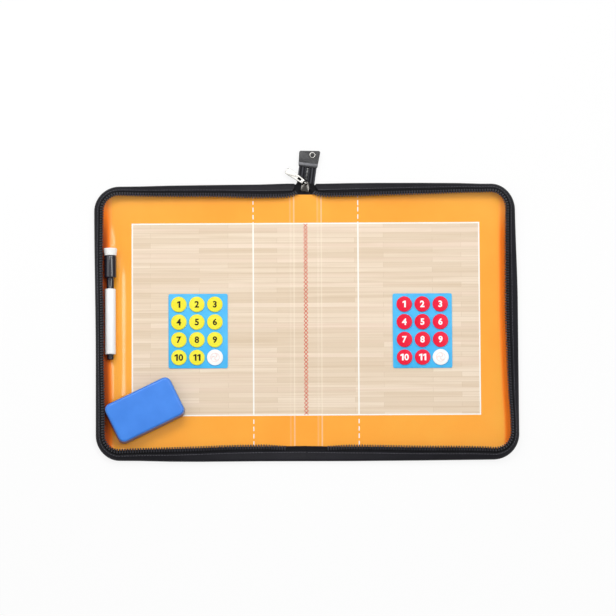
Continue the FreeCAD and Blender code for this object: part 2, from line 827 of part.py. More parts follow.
# Each card lies near the middle of its half.
half_middle = f"(({outer_x} + {half_spine}) / 2)"
for side, colour, sign in (("left", "yellow", "-"), ("right", "red", "")):
    card_x = f"{sign}{half_middle} + {side}_card_shift_x"
    card_y = f"{side}_card_shift_y"
    nodes[f"{side}_card"] = card(f"{side}_card", card_x, card_y)
    places = [(column, up) for up in row_shares for column in column_shares]
    for number, (column_share, row_share) in enumerate(places, start=1):
        last = number == len(places)
        name = f"{side}_ball_disc" if last else f"{colour}_disc_{number}"
        nodes[name] = disc(
            name, "ball_radius" if last else "disc_radius",
            f"{card_x} + {side}_discs_shift_x + {column_share} * disc_pitch_x",
            f"{card_y} + {row_share} * disc_pitch_y")


# The eraser: a drafted, crowned shell over a felt block.
def eraser_corners(inset):
    across = f"(eraser_length / 2 - {inset})"
    up = f"(eraser_width / 2 - {inset})"
    turn_x = "(eraser_length / 2 - eraser_corner)"
    turn_y = "(eraser_width / 2 - eraser_corner)"
    return [
        (f"-{turn_x}", f"-{up}"),
        (turn_x, f"-{up}", turn_x, f"-{turn_y}", 1),
        (across, f"-{turn_y}"),
        (across, turn_y, turn_x, turn_y, 1),
        (turn_x, up),
        (f"-{turn_x}", up, f"-{turn_x}", turn_y, 1),
        (f"-{across}", turn_y),
        (f"-{across}", f"-{turn_y}", f"-{turn_x}", f"-{turn_y}", 1),
    ]


def set_eraser(body, lift):
    bind(body, "Placement.Base.x", f"eraser_from_side - {outer_x}")
    bind(body, "Placement.Base.y", f"eraser_from_foot - {outer_y}")
    bind(body, "Placement.Base.z", lift)
    bind(body, "Placement.Rotation.Angle", "eraser_yaw")


shell = new_body("eraser_shell")
shell_pad = pad(shell, "eraser_shell_pad",
                outline(shell, "eraser_shell_outline", "XY_Plane", eraser_corners("0")), "eraser_height")
bind(shell_pad, "TaperAngle", "-eraser_draft")
doc.recompute()
ease(shell, "eraser_shell_crown", "Fillet", "eraser_crown", level("eraser_height"))
seat_shape = outline(shell, "eraser_seat_outline", "XY_Plane", eraser_corners("felt_inset"))
seat = sink(shell, "eraser_seat", seat_shape, "eraser_seat")
seat.Reversed = True
doc.recompute()
set_eraser(shell, f"{panel_top} + rest_gap + felt_height - eraser_seat")
nodes["eraser_shell"] = shell

felt = new_body("eraser_felt")
pad(felt, "eraser_felt_pad",
    outline(felt, "eraser_felt_outline", "XY_Plane", eraser_corners("felt_inset")), "felt_height")
set_eraser(felt, f"{panel_top} + rest_gap")
nodes["eraser_felt"] = felt

# The pen, drawn along Y from its tail. Each piece is turned from half its section.
barrel_end = "(plug_length + barrel_length)"
collar_end = f"({barrel_end} + collar_length)"
cap_end = f"({collar_end} + cap_length)"
brush_end = f"({cap_end} + brush_length)"
nib_start = f"({barrel_end} - collar_grip - reservoir_clear)"
pen_tilt = f"asin((brush_end_radius - barrel_radius) / ({brush_end} - plug_length))"


def pen_piece(name, corners):
    body = new_body(name)
    turn(body, f"{name}_turn", outline(body, f"{name}_profile", "XY_Plane", corners))
    bind(body, "Placement.Base.x", f"pen_from_side - {outer_x}")
    bind(body, "Placement.Base.y", "pen_tail_y")
    bind(body, "Placement.Base.z", f"{panel_top} + rest_gap + barrel_radius - plug_length * sin({pen_tilt})")
    bind(body, "Placement.Rotation", f"create(<<rotation>>; 0; 0; {pen_tilt})")
    return body


nodes["pen_tail_plug"] = pen_piece("pen_tail_plug", [
    ("0", "0"),
    ("plug_radius - barrel_round", "0"),
    ("plug_radius", "barrel_round"),
    ("plug_radius", "plug_length"),
    ("bore_radius", "plug_length"),
    ("bore_radius", "plug_length + plug_grip"),
    ("0", "plug_length + plug_grip"),
])
nodes["pen_barrel"] = pen_piece("pen_barrel", [
    ("bore_radius", "plug_length"),
    ("barrel_radius - barrel_round", "plug_length"),
    ("barrel_radius", "plug_length + barrel_round"),
    ("barrel_radius", f"{barrel_end} - barrel_round"),
    ("barrel_radius - barrel_round", barrel_end),
    ("bore_radius", barrel_end),
])
nodes["pen_reservoir"] = pen_piece("pen_reservoir", [
    ("0", "plug_length + plug_grip"),
    ("reservoir_radius", "plug_length + plug_grip"),
    ("reservoir_radius", nib_start),
    ("0", nib_start),
])
nodes["pen_collar"] = pen_piece("pen_collar", [
    ("nib_radius", f"{barrel_end} - collar_grip"),
    ("bore_radius", f"{barrel_end} - collar_grip"),
    ("bore_radius", barrel_end),
    ("collar_radius", barrel_end),
    ("collar_radius", collar_end),
    ("cap_radius - cap_wall - fit_gap", collar_end),
    ("cap_radius - cap_wall - fit_gap", f"{collar_end} + collar_lip"),
    ("collar_radius - barrel_round", f"{collar_end} + collar_lip + barrel_round"),
    ("nib_radius", f"{collar_end} + collar_lip + barrel_round"),
])
nodes["pen_nib"] = pen_piece("pen_nib", [
    ("0", nib_start),
    ("nib_radius", nib_start),
    ("nib_radius", f"{collar_end} + nib_reach - nib_tip_length"),
    ("nib_tip_radius", f"{collar_end} + nib_reach"),
    ("0", f"{collar_end} + nib_reach"),
])
nodes["pen_cap"] = pen_piece("pen_cap", [
    ("cap_radius - cap_wall", collar_end),
    ("cap_radius - cap_round", collar_end),
    ("cap_radius", f"{collar_end} + cap_round"),
    ("cap_radius", f"{cap_end} - cap_round"),
    ("cap_radius - cap_round", cap_end),
    ("0", cap_end),
    ("0", f"{cap_end} - cap_wall"),
    ("cap_radius - cap_wall", f"{cap_end} - cap_wall"),
])
nodes["cap_brush"] = pen_piece("cap_brush", [
    ("0", cap_end),
    ("brush_root_radius", cap_end),
    ("brush_end_radius", f"{brush_end} - brush_round"),
    ("brush_end_radius - brush_round", brush_end),
    ("0", brush_end),
])

doc.recompute()
faults = [thing.Name for thing in doc.Objects if {"Invalid", "Error"} & set(thing.State)]
for name, thing in nodes.items():
    if thing.Shape.isNull() or not thing.Shape.isValid() or not thing.Shape.Solids:
        faults.append(name)
if faults:
    raise SystemExit("faulty objects: " + ", ".join(faults))
for name, thing in nodes.items():
    thing.Label = name
    thing.Shape.exportStep(f"parts/{name}.step")
print(len(nodes), "nodes written")
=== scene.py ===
import json
import math

import bmesh
import bpy
import numpy as np
from mathutils import Matrix, Vector


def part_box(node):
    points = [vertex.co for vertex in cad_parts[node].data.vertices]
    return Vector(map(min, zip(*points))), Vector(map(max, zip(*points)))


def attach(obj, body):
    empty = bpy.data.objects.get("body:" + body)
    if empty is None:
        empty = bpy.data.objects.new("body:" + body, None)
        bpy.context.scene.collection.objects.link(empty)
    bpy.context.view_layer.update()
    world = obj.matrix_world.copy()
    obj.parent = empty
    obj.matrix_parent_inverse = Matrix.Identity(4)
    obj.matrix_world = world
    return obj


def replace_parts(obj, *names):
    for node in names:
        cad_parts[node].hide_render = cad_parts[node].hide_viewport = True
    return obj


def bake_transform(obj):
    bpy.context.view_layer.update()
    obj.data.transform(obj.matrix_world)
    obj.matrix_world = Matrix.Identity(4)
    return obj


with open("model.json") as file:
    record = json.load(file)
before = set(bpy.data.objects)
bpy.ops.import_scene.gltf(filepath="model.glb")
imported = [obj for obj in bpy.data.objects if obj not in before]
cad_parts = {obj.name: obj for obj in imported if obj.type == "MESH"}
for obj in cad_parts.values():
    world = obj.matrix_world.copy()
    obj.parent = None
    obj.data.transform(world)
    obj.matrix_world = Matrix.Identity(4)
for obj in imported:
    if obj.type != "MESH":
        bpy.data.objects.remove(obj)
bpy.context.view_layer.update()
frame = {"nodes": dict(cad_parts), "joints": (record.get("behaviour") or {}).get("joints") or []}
nodes = frame["nodes"]
joints = {joint["name"]: joint for joint in frame["joints"]}
scene = bpy.context.scene
mm = 0.001
print("frame loaded:", len(nodes), "nodes")


# sRGB hex to the linear values that the shaders take
def paint(hexCode):
    channels = [int(hexCode[i:i + 2], 16) / 255 for i in (1, 3, 5)]
    return [c / 12.92 if c <= 0.04045 else ((c + 0.055) / 1.055) ** 2.4 for c in channels] + [1.0]


# adds one node; an input is a value, or a socket to link from
def addNode(tree, kind, inputs=None, **settings):
    node = tree.nodes.new(kind)
    for key, value in settings.items():
        setattr(node, key, value)
    for key, value in (inputs or {}).items():
        if isinstance(value, bpy.types.NodeSocket):
            tree.links.new(value, node.inputs[key])
        else:
            node.inputs[key].default_value = value
    return node


# a material, its tree, its shader and the surface's place in millimetres
def startMaterial(name, finish, onMap=False):
    material = bpy.data.materials.new(name)
    material.use_nodes = True
    tree = material.node_tree
    shader = tree.nodes["Principled BSDF"]
    for key, value in finish.items():
        shader.inputs[key].default_value = value
    if onMap:
        source = addNode(tree, "ShaderNodeUVMap", uv_map="sheetMap").outputs["UV"]
    else:
        source = addNode(tree, "ShaderNodeTexCoord").outputs["Object"]
    place = addNode(tree, "ShaderNodeMapping", {"Vector": source, "Scale": (1 / mm, 1 / mm, 1 / mm)})
    return material, tree, shader, place.outputs["Vector"]


toneSpan = (0.3, 0.7)  # of the noise, from all dark to all light


# two tones that drift into each other in patches of a given size
def mottle(tree, shader, place, patch, dark, light):
    noise = addNode(tree, "ShaderNodeTexNoise", {"Vector": place, "Scale": 1 / patch, "Detail": 4.0})
    ramp = addNode(tree, "ShaderNodeValToRGB", {"Fac": noise.outputs["Fac"]})
    for k, tone in enumerate((dark, light)):
        ramp.color_ramp.elements[k].position = toneSpan[k]
        ramp.color_ramp.elements[k].color = paint(tone)
    tree.links.new(ramp.outputs["Color"], shader.inputs["Base Color"])
    return ramp.outputs["Color"]


# raises the surface by a height field
def relief(tree, shader, height, depth, strength=1.0):
    bump = addNode(tree, "ShaderNodeBump", {"Height": height, "Distance": depth, "Strength": strength})
    tree.links.new(bump.outputs["Normal"], shader.inputs["Normal"])


leatherGrain = {"patch": 40, "pebble": 1.3, "depth": 0.22 * mm, "strength": 0.8}


# PU-coated imitation leather, embossed: a fine pebble that breaks up the sheen
def embossedLeather():
    finish = {"Roughness": 0.52, "Specular IOR Level": 0.25}
    material, tree, shader, place = startMaterial("pu_leather_embossed", finish, onMap=True)
    mottle(tree, shader, place, leatherGrain["patch"], "#121117", "#1B1A21")
    pebble = addNode(tree, "ShaderNodeTexVoronoi", {"Vector": place, "Scale": 1 / leatherGrain["pebble"]},
                     feature="SMOOTH_F1")
    relief(tree, shader, pebble.outputs["Distance"], leatherGrain["depth"], leatherGrain["strength"])
    return material


wavePeriod = 0.31  # of a wave texture at scale 1
tapeWeave = {"patch": 12, "twill": 1.1, "raised": (0.55, 0.95), "depth": 0.25 * mm}


# polyester zip tape, woven: ribs along it and a slanting twill, drawn coarse enough to show, the raised ribs
# lighter as a painted highlight
def wovenTape(name, dark, light, rib, ribHighlightTone):
    finish = {"Roughness": 0.85, "Specular IOR Level": 0.2}
    material, tree, shader, place = startMaterial(name, finish, onMap=True)
    cloth = mottle(tree, shader, place, tapeWeave["patch"], dark, light)
    ribs = addNode(tree, "ShaderNodeTexWave", {"Vector": place, "Scale": wavePeriod / rib},
                   bands_direction="Y")
    low, high = tapeWeave["raised"]
    raised = addNode(tree, "ShaderNodeMapRange", {"Value": ribs.outputs["Fac"], "From Min": low,
                                                  "From Max": high})
    # the raised ribs lighter in colour: a painted highlight
    paintedRibHighlight = addNode(tree, "ShaderNodeMix", {0: raised.outputs["Result"], 6: cloth, 7: paint(ribHighlightTone)},
                   data_type="RGBA")
    tree.links.new(paintedRibHighlight.outputs[2], shader.inputs["Base Color"])
    slant = addNode(tree, "ShaderNodeTexWave", {"Vector": place, "Scale": wavePeriod / tapeWeave["twill"]},
                    bands_direction="DIAGONAL")
    weave = addNode(tree, "ShaderNodeMix", {0: 0.5, 2: ribs.outputs["Fac"], 3: slant.outputs["Fac"]})
    relief(tree, shader, weave.outputs[0], tapeWeave["depth"])
    return material


plasticPatch = 18  # millimetres


# one plain moulded or drawn plastic with a fine grain
def mouldedPlastic(name, dark, light, roughness, grain=0.5, depth=0.02, coat=0.0, shine=0.5):
    finish = {"Roughness": roughness, "Specular IOR Level": shine, "Coat Weight": coat,
              "Coat Roughness": 0.12}
    material, tree, shader, place = startMaterial(name, finish)
    mottle(tree, shader, place, plasticPatch, dark, light)
    speck = addNode(tree, "ShaderNodeTexNoise", {"Vector": place, "Scale": 1 / grain, "Detail": 3.0})
    relief(tree, shader, speck.outputs["Fac"], depth * mm)
    return material


# the painted shade on the sides starts and is full this far below the top; in millimetres, as is the spark
absLook = {"sideStart": 2.2, "sideFull": 5.5, "spark": 0.45, "depth": 0.05 * mm}


# ABS with a spark texture: an even blue, with painted shade down the drafted sides
def texturedAbs():
    finish = {"Roughness": 0.36, "Coat Weight": 0.35, "Coat Roughness": 0.14}
    material, tree, shader, place = startMaterial("abs_blue_spark_textured", finish)
    body = mottle(tree, shader, place, plasticPatch, "#2C7FE6", "#3788EE")
    height = addNode(tree, "ShaderNodeSeparateXYZ", {"Vector": place})
    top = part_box("eraser_shell")[1].z / mm
    side = addNode(tree, "ShaderNodeMapRange", {"Value": height.outputs["Z"],
                                                "From Min": top - absLook["sideStart"],
                                                "From Max": top - absLook["sideFull"]})
    # the sides darkened towards the bottom as painted shade
    deep = addNode(tree, "ShaderNodeMix", {0: side.outputs["Result"], 6: body, 7: paint("#224C98")},
                   data_type="RGBA")
    tree.links.new(deep.outputs[2], shader.inputs["Base Color"])
    speck = addNode(tree, "ShaderNodeTexNoise", {"Vector": place, "Scale": 1 / absLook["spark"],
                                                 "Detail": 3.0})
    relief(tree, shader, speck.outputs["Fac"], absLook["depth"])
    return material


feltGrain = {"patch": 2.5, "fibre": 0.7}  # millimetres


# needled or pressed wool felt: matt, with loose fibres
def pressedFelt(name, dark, light, depth=0.5):
    finish = {"Roughness": 0.95, "Sheen Weight": 0.5, "Sheen Roughness": 0.6}
    material, tree, shader, place = startMaterial(name, finish)
    mottle(tree, shader, place, feltGrain["patch"], dark, light)
    fibre = addNode(tree, "ShaderNodeTexNoise", {"Vector": place, "Scale": 1 / feltGrain["fibre"],
                                                 "Detail": 6.0, "Distortion": 1.5})
    relief(tree, shader, fibre.outputs["Fac"], depth * mm)
    return material


plating = {"haze": 4.0, "duller": (0.7, 1.5), "depth": 0.03 * mm}


# plated zinc or steel: a clear reflection, dulled a little by handling
def platedMetal(name, tone, rough):
    material, tree, shader, place = startMaterial(name, {"Metallic": 1.0, "Base Color": paint(tone)})
    haze = addNode(tree, "ShaderNodeTexNoise", {"Vector": place, "Scale": 1 / plating["haze"], "Detail": 5.0})
    least, most = plating["duller"]
    span = addNode(tree, "ShaderNodeMapRange", {"Value": haze.outputs["Fac"], "To Min": rough * least,
                                                "To Max": rough * most})
    tree.links.new(span.outputs["Result"], shader.inputs["Roughness"])
    relief(tree, shader, haze.outputs["Fac"], plating["depth"])
    return material


glossSheet = {"Coat Roughness": 0.17, "Specular IOR Level": 0.22}
# painted shade towards the rim: a warm tone up to half way and a deep one beyond, with less coat and more
# roughness
rimShade = {"half": 0.5, "warm": "#FF7E12", "deep": "#B04806", "coat": (0.6, 0.0), "roughness": (0.22, 0.7)}
sheetRipple = {"length": 55.0, "depth": 0.9 * mm, "strength": 0.3}


# calendered PVC, printed and laminated: glossy, with painted shade where it turns up at the rim
# and paler where a weld has stretched it, with a painted highlight on the weld towards +x
def printedVinyl(name, onColour):
    material, tree, shader, place = startMaterial(name, glossSheet, onMap=True)
    colour = onColour(tree, shader, place)
    rimShadeMask = addNode(tree, "ShaderNodeAttribute", attribute_name="rimTurn")
    near = addNode(tree, "ShaderNodeMapRange", {"Value": rimShadeMask.outputs["Fac"], "From Max": rimShade["half"]})
    warm = addNode(tree, "ShaderNodeMix", {0: near.outputs["Result"], 6: colour, 7: paint(rimShade["warm"])},
                   data_type="RGBA")
    far = addNode(tree, "ShaderNodeMapRange", {"Value": rimShadeMask.outputs["Fac"], "From Min": rimShade["half"]})
    deep = addNode(tree, "ShaderNodeMix", {0: far.outputs["Result"], 6: warm.outputs[2],
                                           7: paint(rimShade["deep"])}, data_type="RGBA")
    wear = addNode(tree, "ShaderNodeAttribute", attribute_name="weldWear")
    pale = addNode(tree, "ShaderNodeMix", {0: wear.outputs["Fac"], 6: deep.outputs[2], 7: paint("#FFF3DC")},
                   data_type="RGBA")
    tree.links.new(pale.outputs[2], shader.inputs["Base Color"])
    for socket, (flat, rim) in (("Coat Weight", rimShade["coat"]), ("Roughness", rimShade["roughness"])):
        dull = addNode(tree, "ShaderNodeMapRange", {"Value": rimShadeMask.outputs["Fac"],
                                                    "From Max": rimShade["half"],
                                                    "To Min": flat, "To Max": rim})
        tree.links.new(dull.outputs["Result"], shader.inputs[socket])
    ripple = addNode(tree, "ShaderNodeTexNoise", {"Vector": place, "Scale": 1 / sheetRipple["length"],
                                                  "Detail": 1.0})
    relief(tree, shader, ripple.outputs["Fac"], sheetRipple["depth"], sheetRipple["strength"])
    return material


inkPatch = {"orange": 90, "white": 15}  # millimetres


def orangeInk(tree, shader, place):
    return mottle(tree, shader, place, inkPatch["orange"], "#FFA42C", "#FFAF38")


def whiteInk(tree, shader, place):
    return mottle(tree, shader, place, inkPatch["white"], "#FBF7EE", "#FFFDF8")


planks = {"width": 88.0, "height": 5.7, "joint": 0.16,  # millimetres
          "offset": 0.37, "grain": (0.010, 0.55, 1.0), "streakScale": 0.5, "blushScale": 0.16,
          # where in the noise it starts and is full, and how strong it gets
          "streak": {"From Min": 0.45, "From Max": 0.8, "To Max": 0.75},
          "blush": {"From Min": 0.5, "From Max": 0.75, "To Max": 0.5}}


# pale maple boards, printed: each board has its own tint, with long streaks of grain
def mapleInk(tree, shader, place):
    boards = addNode(tree, "ShaderNodeTexBrick", {
        "Vector": place, "Color1": paint("#F1DFC9"), "Color2": paint("#E3CEB4"), "Mortar": paint("#D6C0A4"),
        "Scale": 1.0, "Mortar Size": planks["joint"], "Brick Width": planks["width"],
        "Row Height": planks["height"]}, offset=planks["offset"], offset_frequency=2)
    stretch = addNode(tree, "ShaderNodeMapping", {"Vector": place, "Scale": planks["grain"]})
    streak = addNode(tree, "ShaderNodeTexNoise", {
        "Vector": stretch.outputs["Vector"], "Scale": planks["streakScale"], "Detail": 6.0,
        "Distortion": 0.6})
    shade = addNode(tree, "ShaderNodeMapRange", {"Value": streak.outputs["Fac"], **planks["streak"]})
    grain = addNode(tree, "ShaderNodeMix", {0: shade.outputs["Result"], 6: boards.outputs["Color"],
                                            7: paint("#D5BB9B")}, data_type="RGBA")
    blush = addNode(tree, "ShaderNodeTexNoise", {"Vector": stretch.outputs["Vector"],
                                                 "Scale": planks["blushScale"]})
    warm = addNode(tree, "ShaderNodeMapRange", {"Value": blush.outputs["Fac"], **planks["blush"]})
    tint = addNode(tree, "ShaderNodeMix", {0: warm.outputs["Result"], 6: grain.outputs[2],
                                           7: paint("#F2D9C7")}, data_type="RGBA")
    return tint.outputs[2]


leather = embossedLeather()
tapeCloth = wovenTape("polyester_tape_woven", "#0E0E10", "#16161A", 1.6, "#1A1A1E")
tailCloth = wovenTape("polyester_tape_ribbed", "#161619", "#222226", 3.6, "#4A4A50")
# black thread made dark grey, as a painted highlight along the hem and the cover's edge
highlitThread = mouldedPlastic("polyester_thread_spun", "#4C4C53", "#5E5E66", 0.6)
# the coil's black nylon, made lighter as a painted highlight on the teeth
highlitNylon = mouldedPlastic("nylon_coil_drawn", "#222128", "#313039", 0.4)
dyedNylon = mouldedPlastic("nylon_coil_dyed", "#0E0E10", "#151518", 0.85, shine=0.1)
lacquer = mouldedPlastic("black_lacquer_sprayed", "#0B0B0C", "#121214", 0.3)
tabVinyl = mouldedPlastic("soft_vinyl_pressed", "#161618", "#222225", 0.3, grain=1.5, depth=0.28)
tabHem = mouldedPlastic("soft_vinyl_edge_turned", "#55555A", "#77777C", 0.4)
nickel = platedMetal("zinc_nickel_plated", "#C4C2BE", 0.2)
satinNickel = platedMetal("zinc_satin_nickel_plated", "#A6A4A0", 0.28)
gunmetal = platedMetal("zinc_black_nickel_plated", "#54524F", 0.2)
tinplate = platedMetal("steel_tinned", "#B9BBBD", 0.4)
greyBoard = mouldedPlastic("greyboard_pressed", "#8B857B", "#A09A90", 0.9, grain=0.8, depth=0.1)
orangeVinyl = printedVinyl("pvc_sheet_orange_print", orangeInk)
courtVinyl = printedVinyl("pvc_sheet_maple_print", mapleInk)
lineVinyl = printedVinyl("pvc_sheet_white_print", whiteInk)
netInk = mouldedPlastic("screen_ink_red", "#D4402A", "#E0543A", 0.35, depth=0.005)
cardVinyl = mouldedPlastic("magnet_sheet_sky_blue", "#2AAFEF", "#3BBEF8", 0.42, grain=0.7, depth=0.03)
yellowPlastic = mouldedPlastic("polystyrene_yellow_moulded", "#F3E82C", "#F8EF44", 0.3, depth=0.006,
                               shine=0.3)
redPlastic = mouldedPlastic("polystyrene_red_moulded", "#EC0A34", "#F61C42", 0.3, depth=0.006, shine=0.22)
whitePlastic = mouldedPlastic("polystyrene_white_moulded", "#F6F6F4", "#FDFDFC", 0.28, depth=0.006)
brownInk = mouldedPlastic("pad_ink_brown", "#1C1004", "#281806", 0.5, depth=0.004, shine=0.2)
paleInk = mouldedPlastic("pad_ink_white", "#FBFAF8", "#FFFFFF", 0.4, depth=0.004)
seamInk = mouldedPlastic("pad_ink_blush", "#EFCFC8", "#F4DAD4", 0.4, depth=0.004)
eraserPlastic = texturedAbs()
penWhite = mouldedPlastic("polypropylene_white_moulded", "#F4F4F3", "#FCFCFB", 0.3, depth=0.008)
penBlack = mouldedPlastic("polypropylene_black_moulded", "#13111C", "#1C1928", 0.2, depth=0.002, coat=0.7)
greyFelt = pressedFelt("wool_felt_grey", "#1E1F24", "#303138")
whiteFelt = pressedFelt("wool_felt_white", "#F6F4F0", "#FFFEFB", 0.15)
inkFelt = pressedFelt("fibre_nib_inked", "#15151A", "#26262C")
print("materials made:", len(bpy.data.materials))


def smoothstep(value, low, high):
    share = np.clip((np.asarray(value, float) - low) / (high - low), 0, 1)
    return share * share * (3 - 2 * share)


# a mesh object at the origin, with its sheet map in metres where it has one
def makePiece(name, points, faces, materials, faceSlots=None, sheetMap=None, smooth=True):
    mesh = bpy.data.meshes.new(name)
    mesh.from_pydata([tuple(point) for point in points], [], faces)
    for material in materials:
        mesh.materials.append(material)
    if faceSlots is not None:
        mesh.polygons.foreach_set("material_index", faceSlots)
    mesh.polygons.foreach_set("use_smooth", [smooth] * len(mesh.polygons))
    if sheetMap is not None:
        layer = mesh.uv_layers.new(name="sheetMap")
        corners = np.zeros(len(mesh.loops), int)
        mesh.loops.foreach_get("vertex_index", corners)
        layer.data.foreach_set("uv", np.asarray(sheetMap, float)[corners].ravel())
    mesh.update()
    piece = bpy.data.objects.new(name, mesh)
    scene.collection.objects.link(piece)
    return piece


# swaps a piece's modifiers for the mesh that they make
def applyModifiers(piece):
    graph = bpy.context.evaluated_depsgraph_get()
    mesh = bpy.data.meshes.new_from_object(
        piece.evaluated_get(graph), preserve_all_data_layers=True, depsgraph=graph)
    piece.modifiers.clear()
    piece.data = mesh
    return piece


def faceOutwards(piece):
    shell = bmesh.new()
    shell.from_mesh(piece.data)
    bmesh.ops.recalc_face_normals(shell, faces=shell.faces)
    shell.to_mesh(piece.data)
    shell.free()
    return piece


sharpFrom = {"soft": math.radians(50), "rigid": math.radians(40)}  # steeper edges stay crisp
bevelFrom = math.radians(35)
flatWithin = math.radians(0.5)
weldWithin = {"node": 0.002 * mm, "ink": 0.001 * mm}


# a closed section carried along stations: sections is (stations, around, 3)
def sweepPiece(name, sections, material, sheetMap):
    stations, around = sections.shape[:2]
    faces = []
    for i in range(stations - 1):
        for j in range(around):
            k = (j + 1) % around
            faces.append((i * around + j, i * around + k, (i + 1) * around + k, (i + 1) * around + j))
    faces.append(tuple(range(around)))
    faces.append(tuple(range((stations - 1) * around, stations * around)))
    piece = makePiece(name, sections.reshape(-1, 3), faces, [material],
                      sheetMap=sheetMap.reshape(-1, 2))
    piece.data.set_sharp_from_angle(angle=sharpFrom["soft"])
    return faceOutwards(piece)


# a bevelled copy that stands for a rigid CAD node
def dressNode(name, material, body, bevel=0.0, segments=2, rimMaterial=None):
    piece = bpy.data.objects.new(name + "_finish", nodes[name].data.copy())
    scene.collection.objects.link(piece)
    shell = bmesh.new()
    shell.from_mesh(piece.data)
    bmesh.ops.remove_doubles(shell, verts=shell.verts, dist=weldWithin["node"])
    bmesh.ops.dissolve_limit(shell, angle_limit=flatWithin, verts=shell.verts, edges=shell.edges)
    shell.to_mesh(piece.data)
    shell.free()
    piece.data.materials.clear()
    piece.data.materials.append(material)
    piece.data.polygons.foreach_set("use_smooth", [True] * len(piece.data.polygons))
    if bevel:
        edge = piece.modifiers.new("edge", "BEVEL")
        edge.width = bevel
        edge.segments = segments
        edge.limit_method = "ANGLE"
        edge.angle_limit = bevelFrom
        # a second finish on the bevel, used as a painted dark reflection along the edges
        if rimMaterial:
            piece.data.materials.append(rimMaterial)
            edge.material = 1
        applyModifiers(piece)
    piece.data.set_sharp_from_angle(angle=sharpFrom["rigid"])
    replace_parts(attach(piece, body), name)
    return piece


# the case's edge: a strip of leather and zip tape turned up round each half
caseEdge = {
    "cornerRadius": 29 * mm, "cornerSteps": 14, "step": 3 * mm,
    "strip": 22.5 * mm, "gusset": 16.4 * mm, "skin": 1.2 * mm, "tape": 0.8 * mm, "underHem": 1.6 * mm,
    "uprightRadius": 5 * mm, "uprightWrap": 48, "slumpRadius": 2.8 * mm, "slumpWrap": 86,
    # how far the strip has slumped inwards, at even steps from the spine's head round to its foot
    "slump": {
        "left": ((0.72, 0.6, 0.48, 0.32, 0.08), (-0.1, -0.2, -0.2, -0.2, -0.05),
                 (0.05, 0.45, 0.76, 0.92, 1.08)),
        "right": ((0.62, 0.52, 0.48, 0.18, -0.05), (-0.05, 0.43, 0.46, 0.2, -0.32),
                  (0.3, 0.5, 0.6, 0.8, 1.05)),
    },
    "slumpSpread": (-24, -16, -8, 0, 8, 16, 24),  # millimetres over which the slump is evened out
    "waver": 0.05, "waverLengths": (23 * mm, 61 * mm),
    # how far the soft outline has settled from the true one, in millimetres at places along it
    "headBow": ((-210, -0.4), (-188, -0.25), (-154, 0.6), (-120, 0.95), (-52, 1.45), (-20, 2.4), (20, 2.0),
                (50, 2.5), (84, 2.6), (129, 2.35), (174, 1.8), (200, 0.8)),
    "footBow": ((-210, -0.4), (-188, -0.25), (-154, 0.7), (-120, 0.95), (-52, 0.65), (0, 0.8), (50, 1.0),
                (129, 0.8), (197, 0.35), (240, 0.0)),
    "leftDrawn": (0.3 * mm, 2.2 * mm), "rightHeadDrawn": 2.2 * mm,
    # places in metres between which the sides are drawn in, and where the settling fades out
    "leftDrawRun": (-0.05, 0.14), "rightDrawRun": (0.02, 0.14), "settleEnds": 0.12, "settleSides": 0.2,
    "foldReach": 7 * mm, "turnStart": 26 * mm, "creaseBand": 6 * mm,
    "hemDrop": (9 * mm, 14 * mm), "hemLeft": 0.12, "hemFull": 0.98, "hemSteps": 16, "hemRound": 0.45 * mm,
    "stitchInset": 0.8 * mm, "stitchRise": 0.05 * mm, "stitchGap": 2 * mm,
}
signs = {"left": -1, "right": 1}
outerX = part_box("right_gusset")[1].x
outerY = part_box("right_gusset")[1].y
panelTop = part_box("left_card")[0].z
creaseX = joints["right_fold"]["pos_m"][0]
cornerX = outerX - caseEdge["cornerRadius"]
cornerY = outerY - caseEdge["cornerRadius"]


# stations round one half: place and inward direction, from the head of the spine to its foot
def edgeRoute(sign, headColumns, rows, footColumns):
    places = [(sign * x, outerY) for x in headColumns]
    inward = [(0, -1)] * len(headColumns)
    turns = [math.pi / 2 * k / caseEdge["cornerSteps"] for k in range(1, caseEdge["cornerSteps"])]
    for turn in turns:
        way = (sign * math.sin(turn), math.cos(turn))
        places.append((sign * cornerX + caseEdge["cornerRadius"] * way[0],
                       cornerY + caseEdge["cornerRadius"] * way[1]))
        inward.append((-way[0], -way[1]))
    places += [(sign * outerX, y) for y in rows]
    inward += [(-sign, 0)] * len(rows)
    for turn in turns:
        way = (sign * math.cos(turn), -math.sin(turn))
        places.append((sign * cornerX + caseEdge["cornerRadius"] * way[0],
                       -cornerY + caseEdge["cornerRadius"] * way[1]))
        inward.append((-way[0], -way[1]))
    places += [(sign * x, -outerY) for x in reversed(footColumns)]
    inward += [(0, 1)] * len(footColumns)
    return np.array(places), np.array(inward, float)


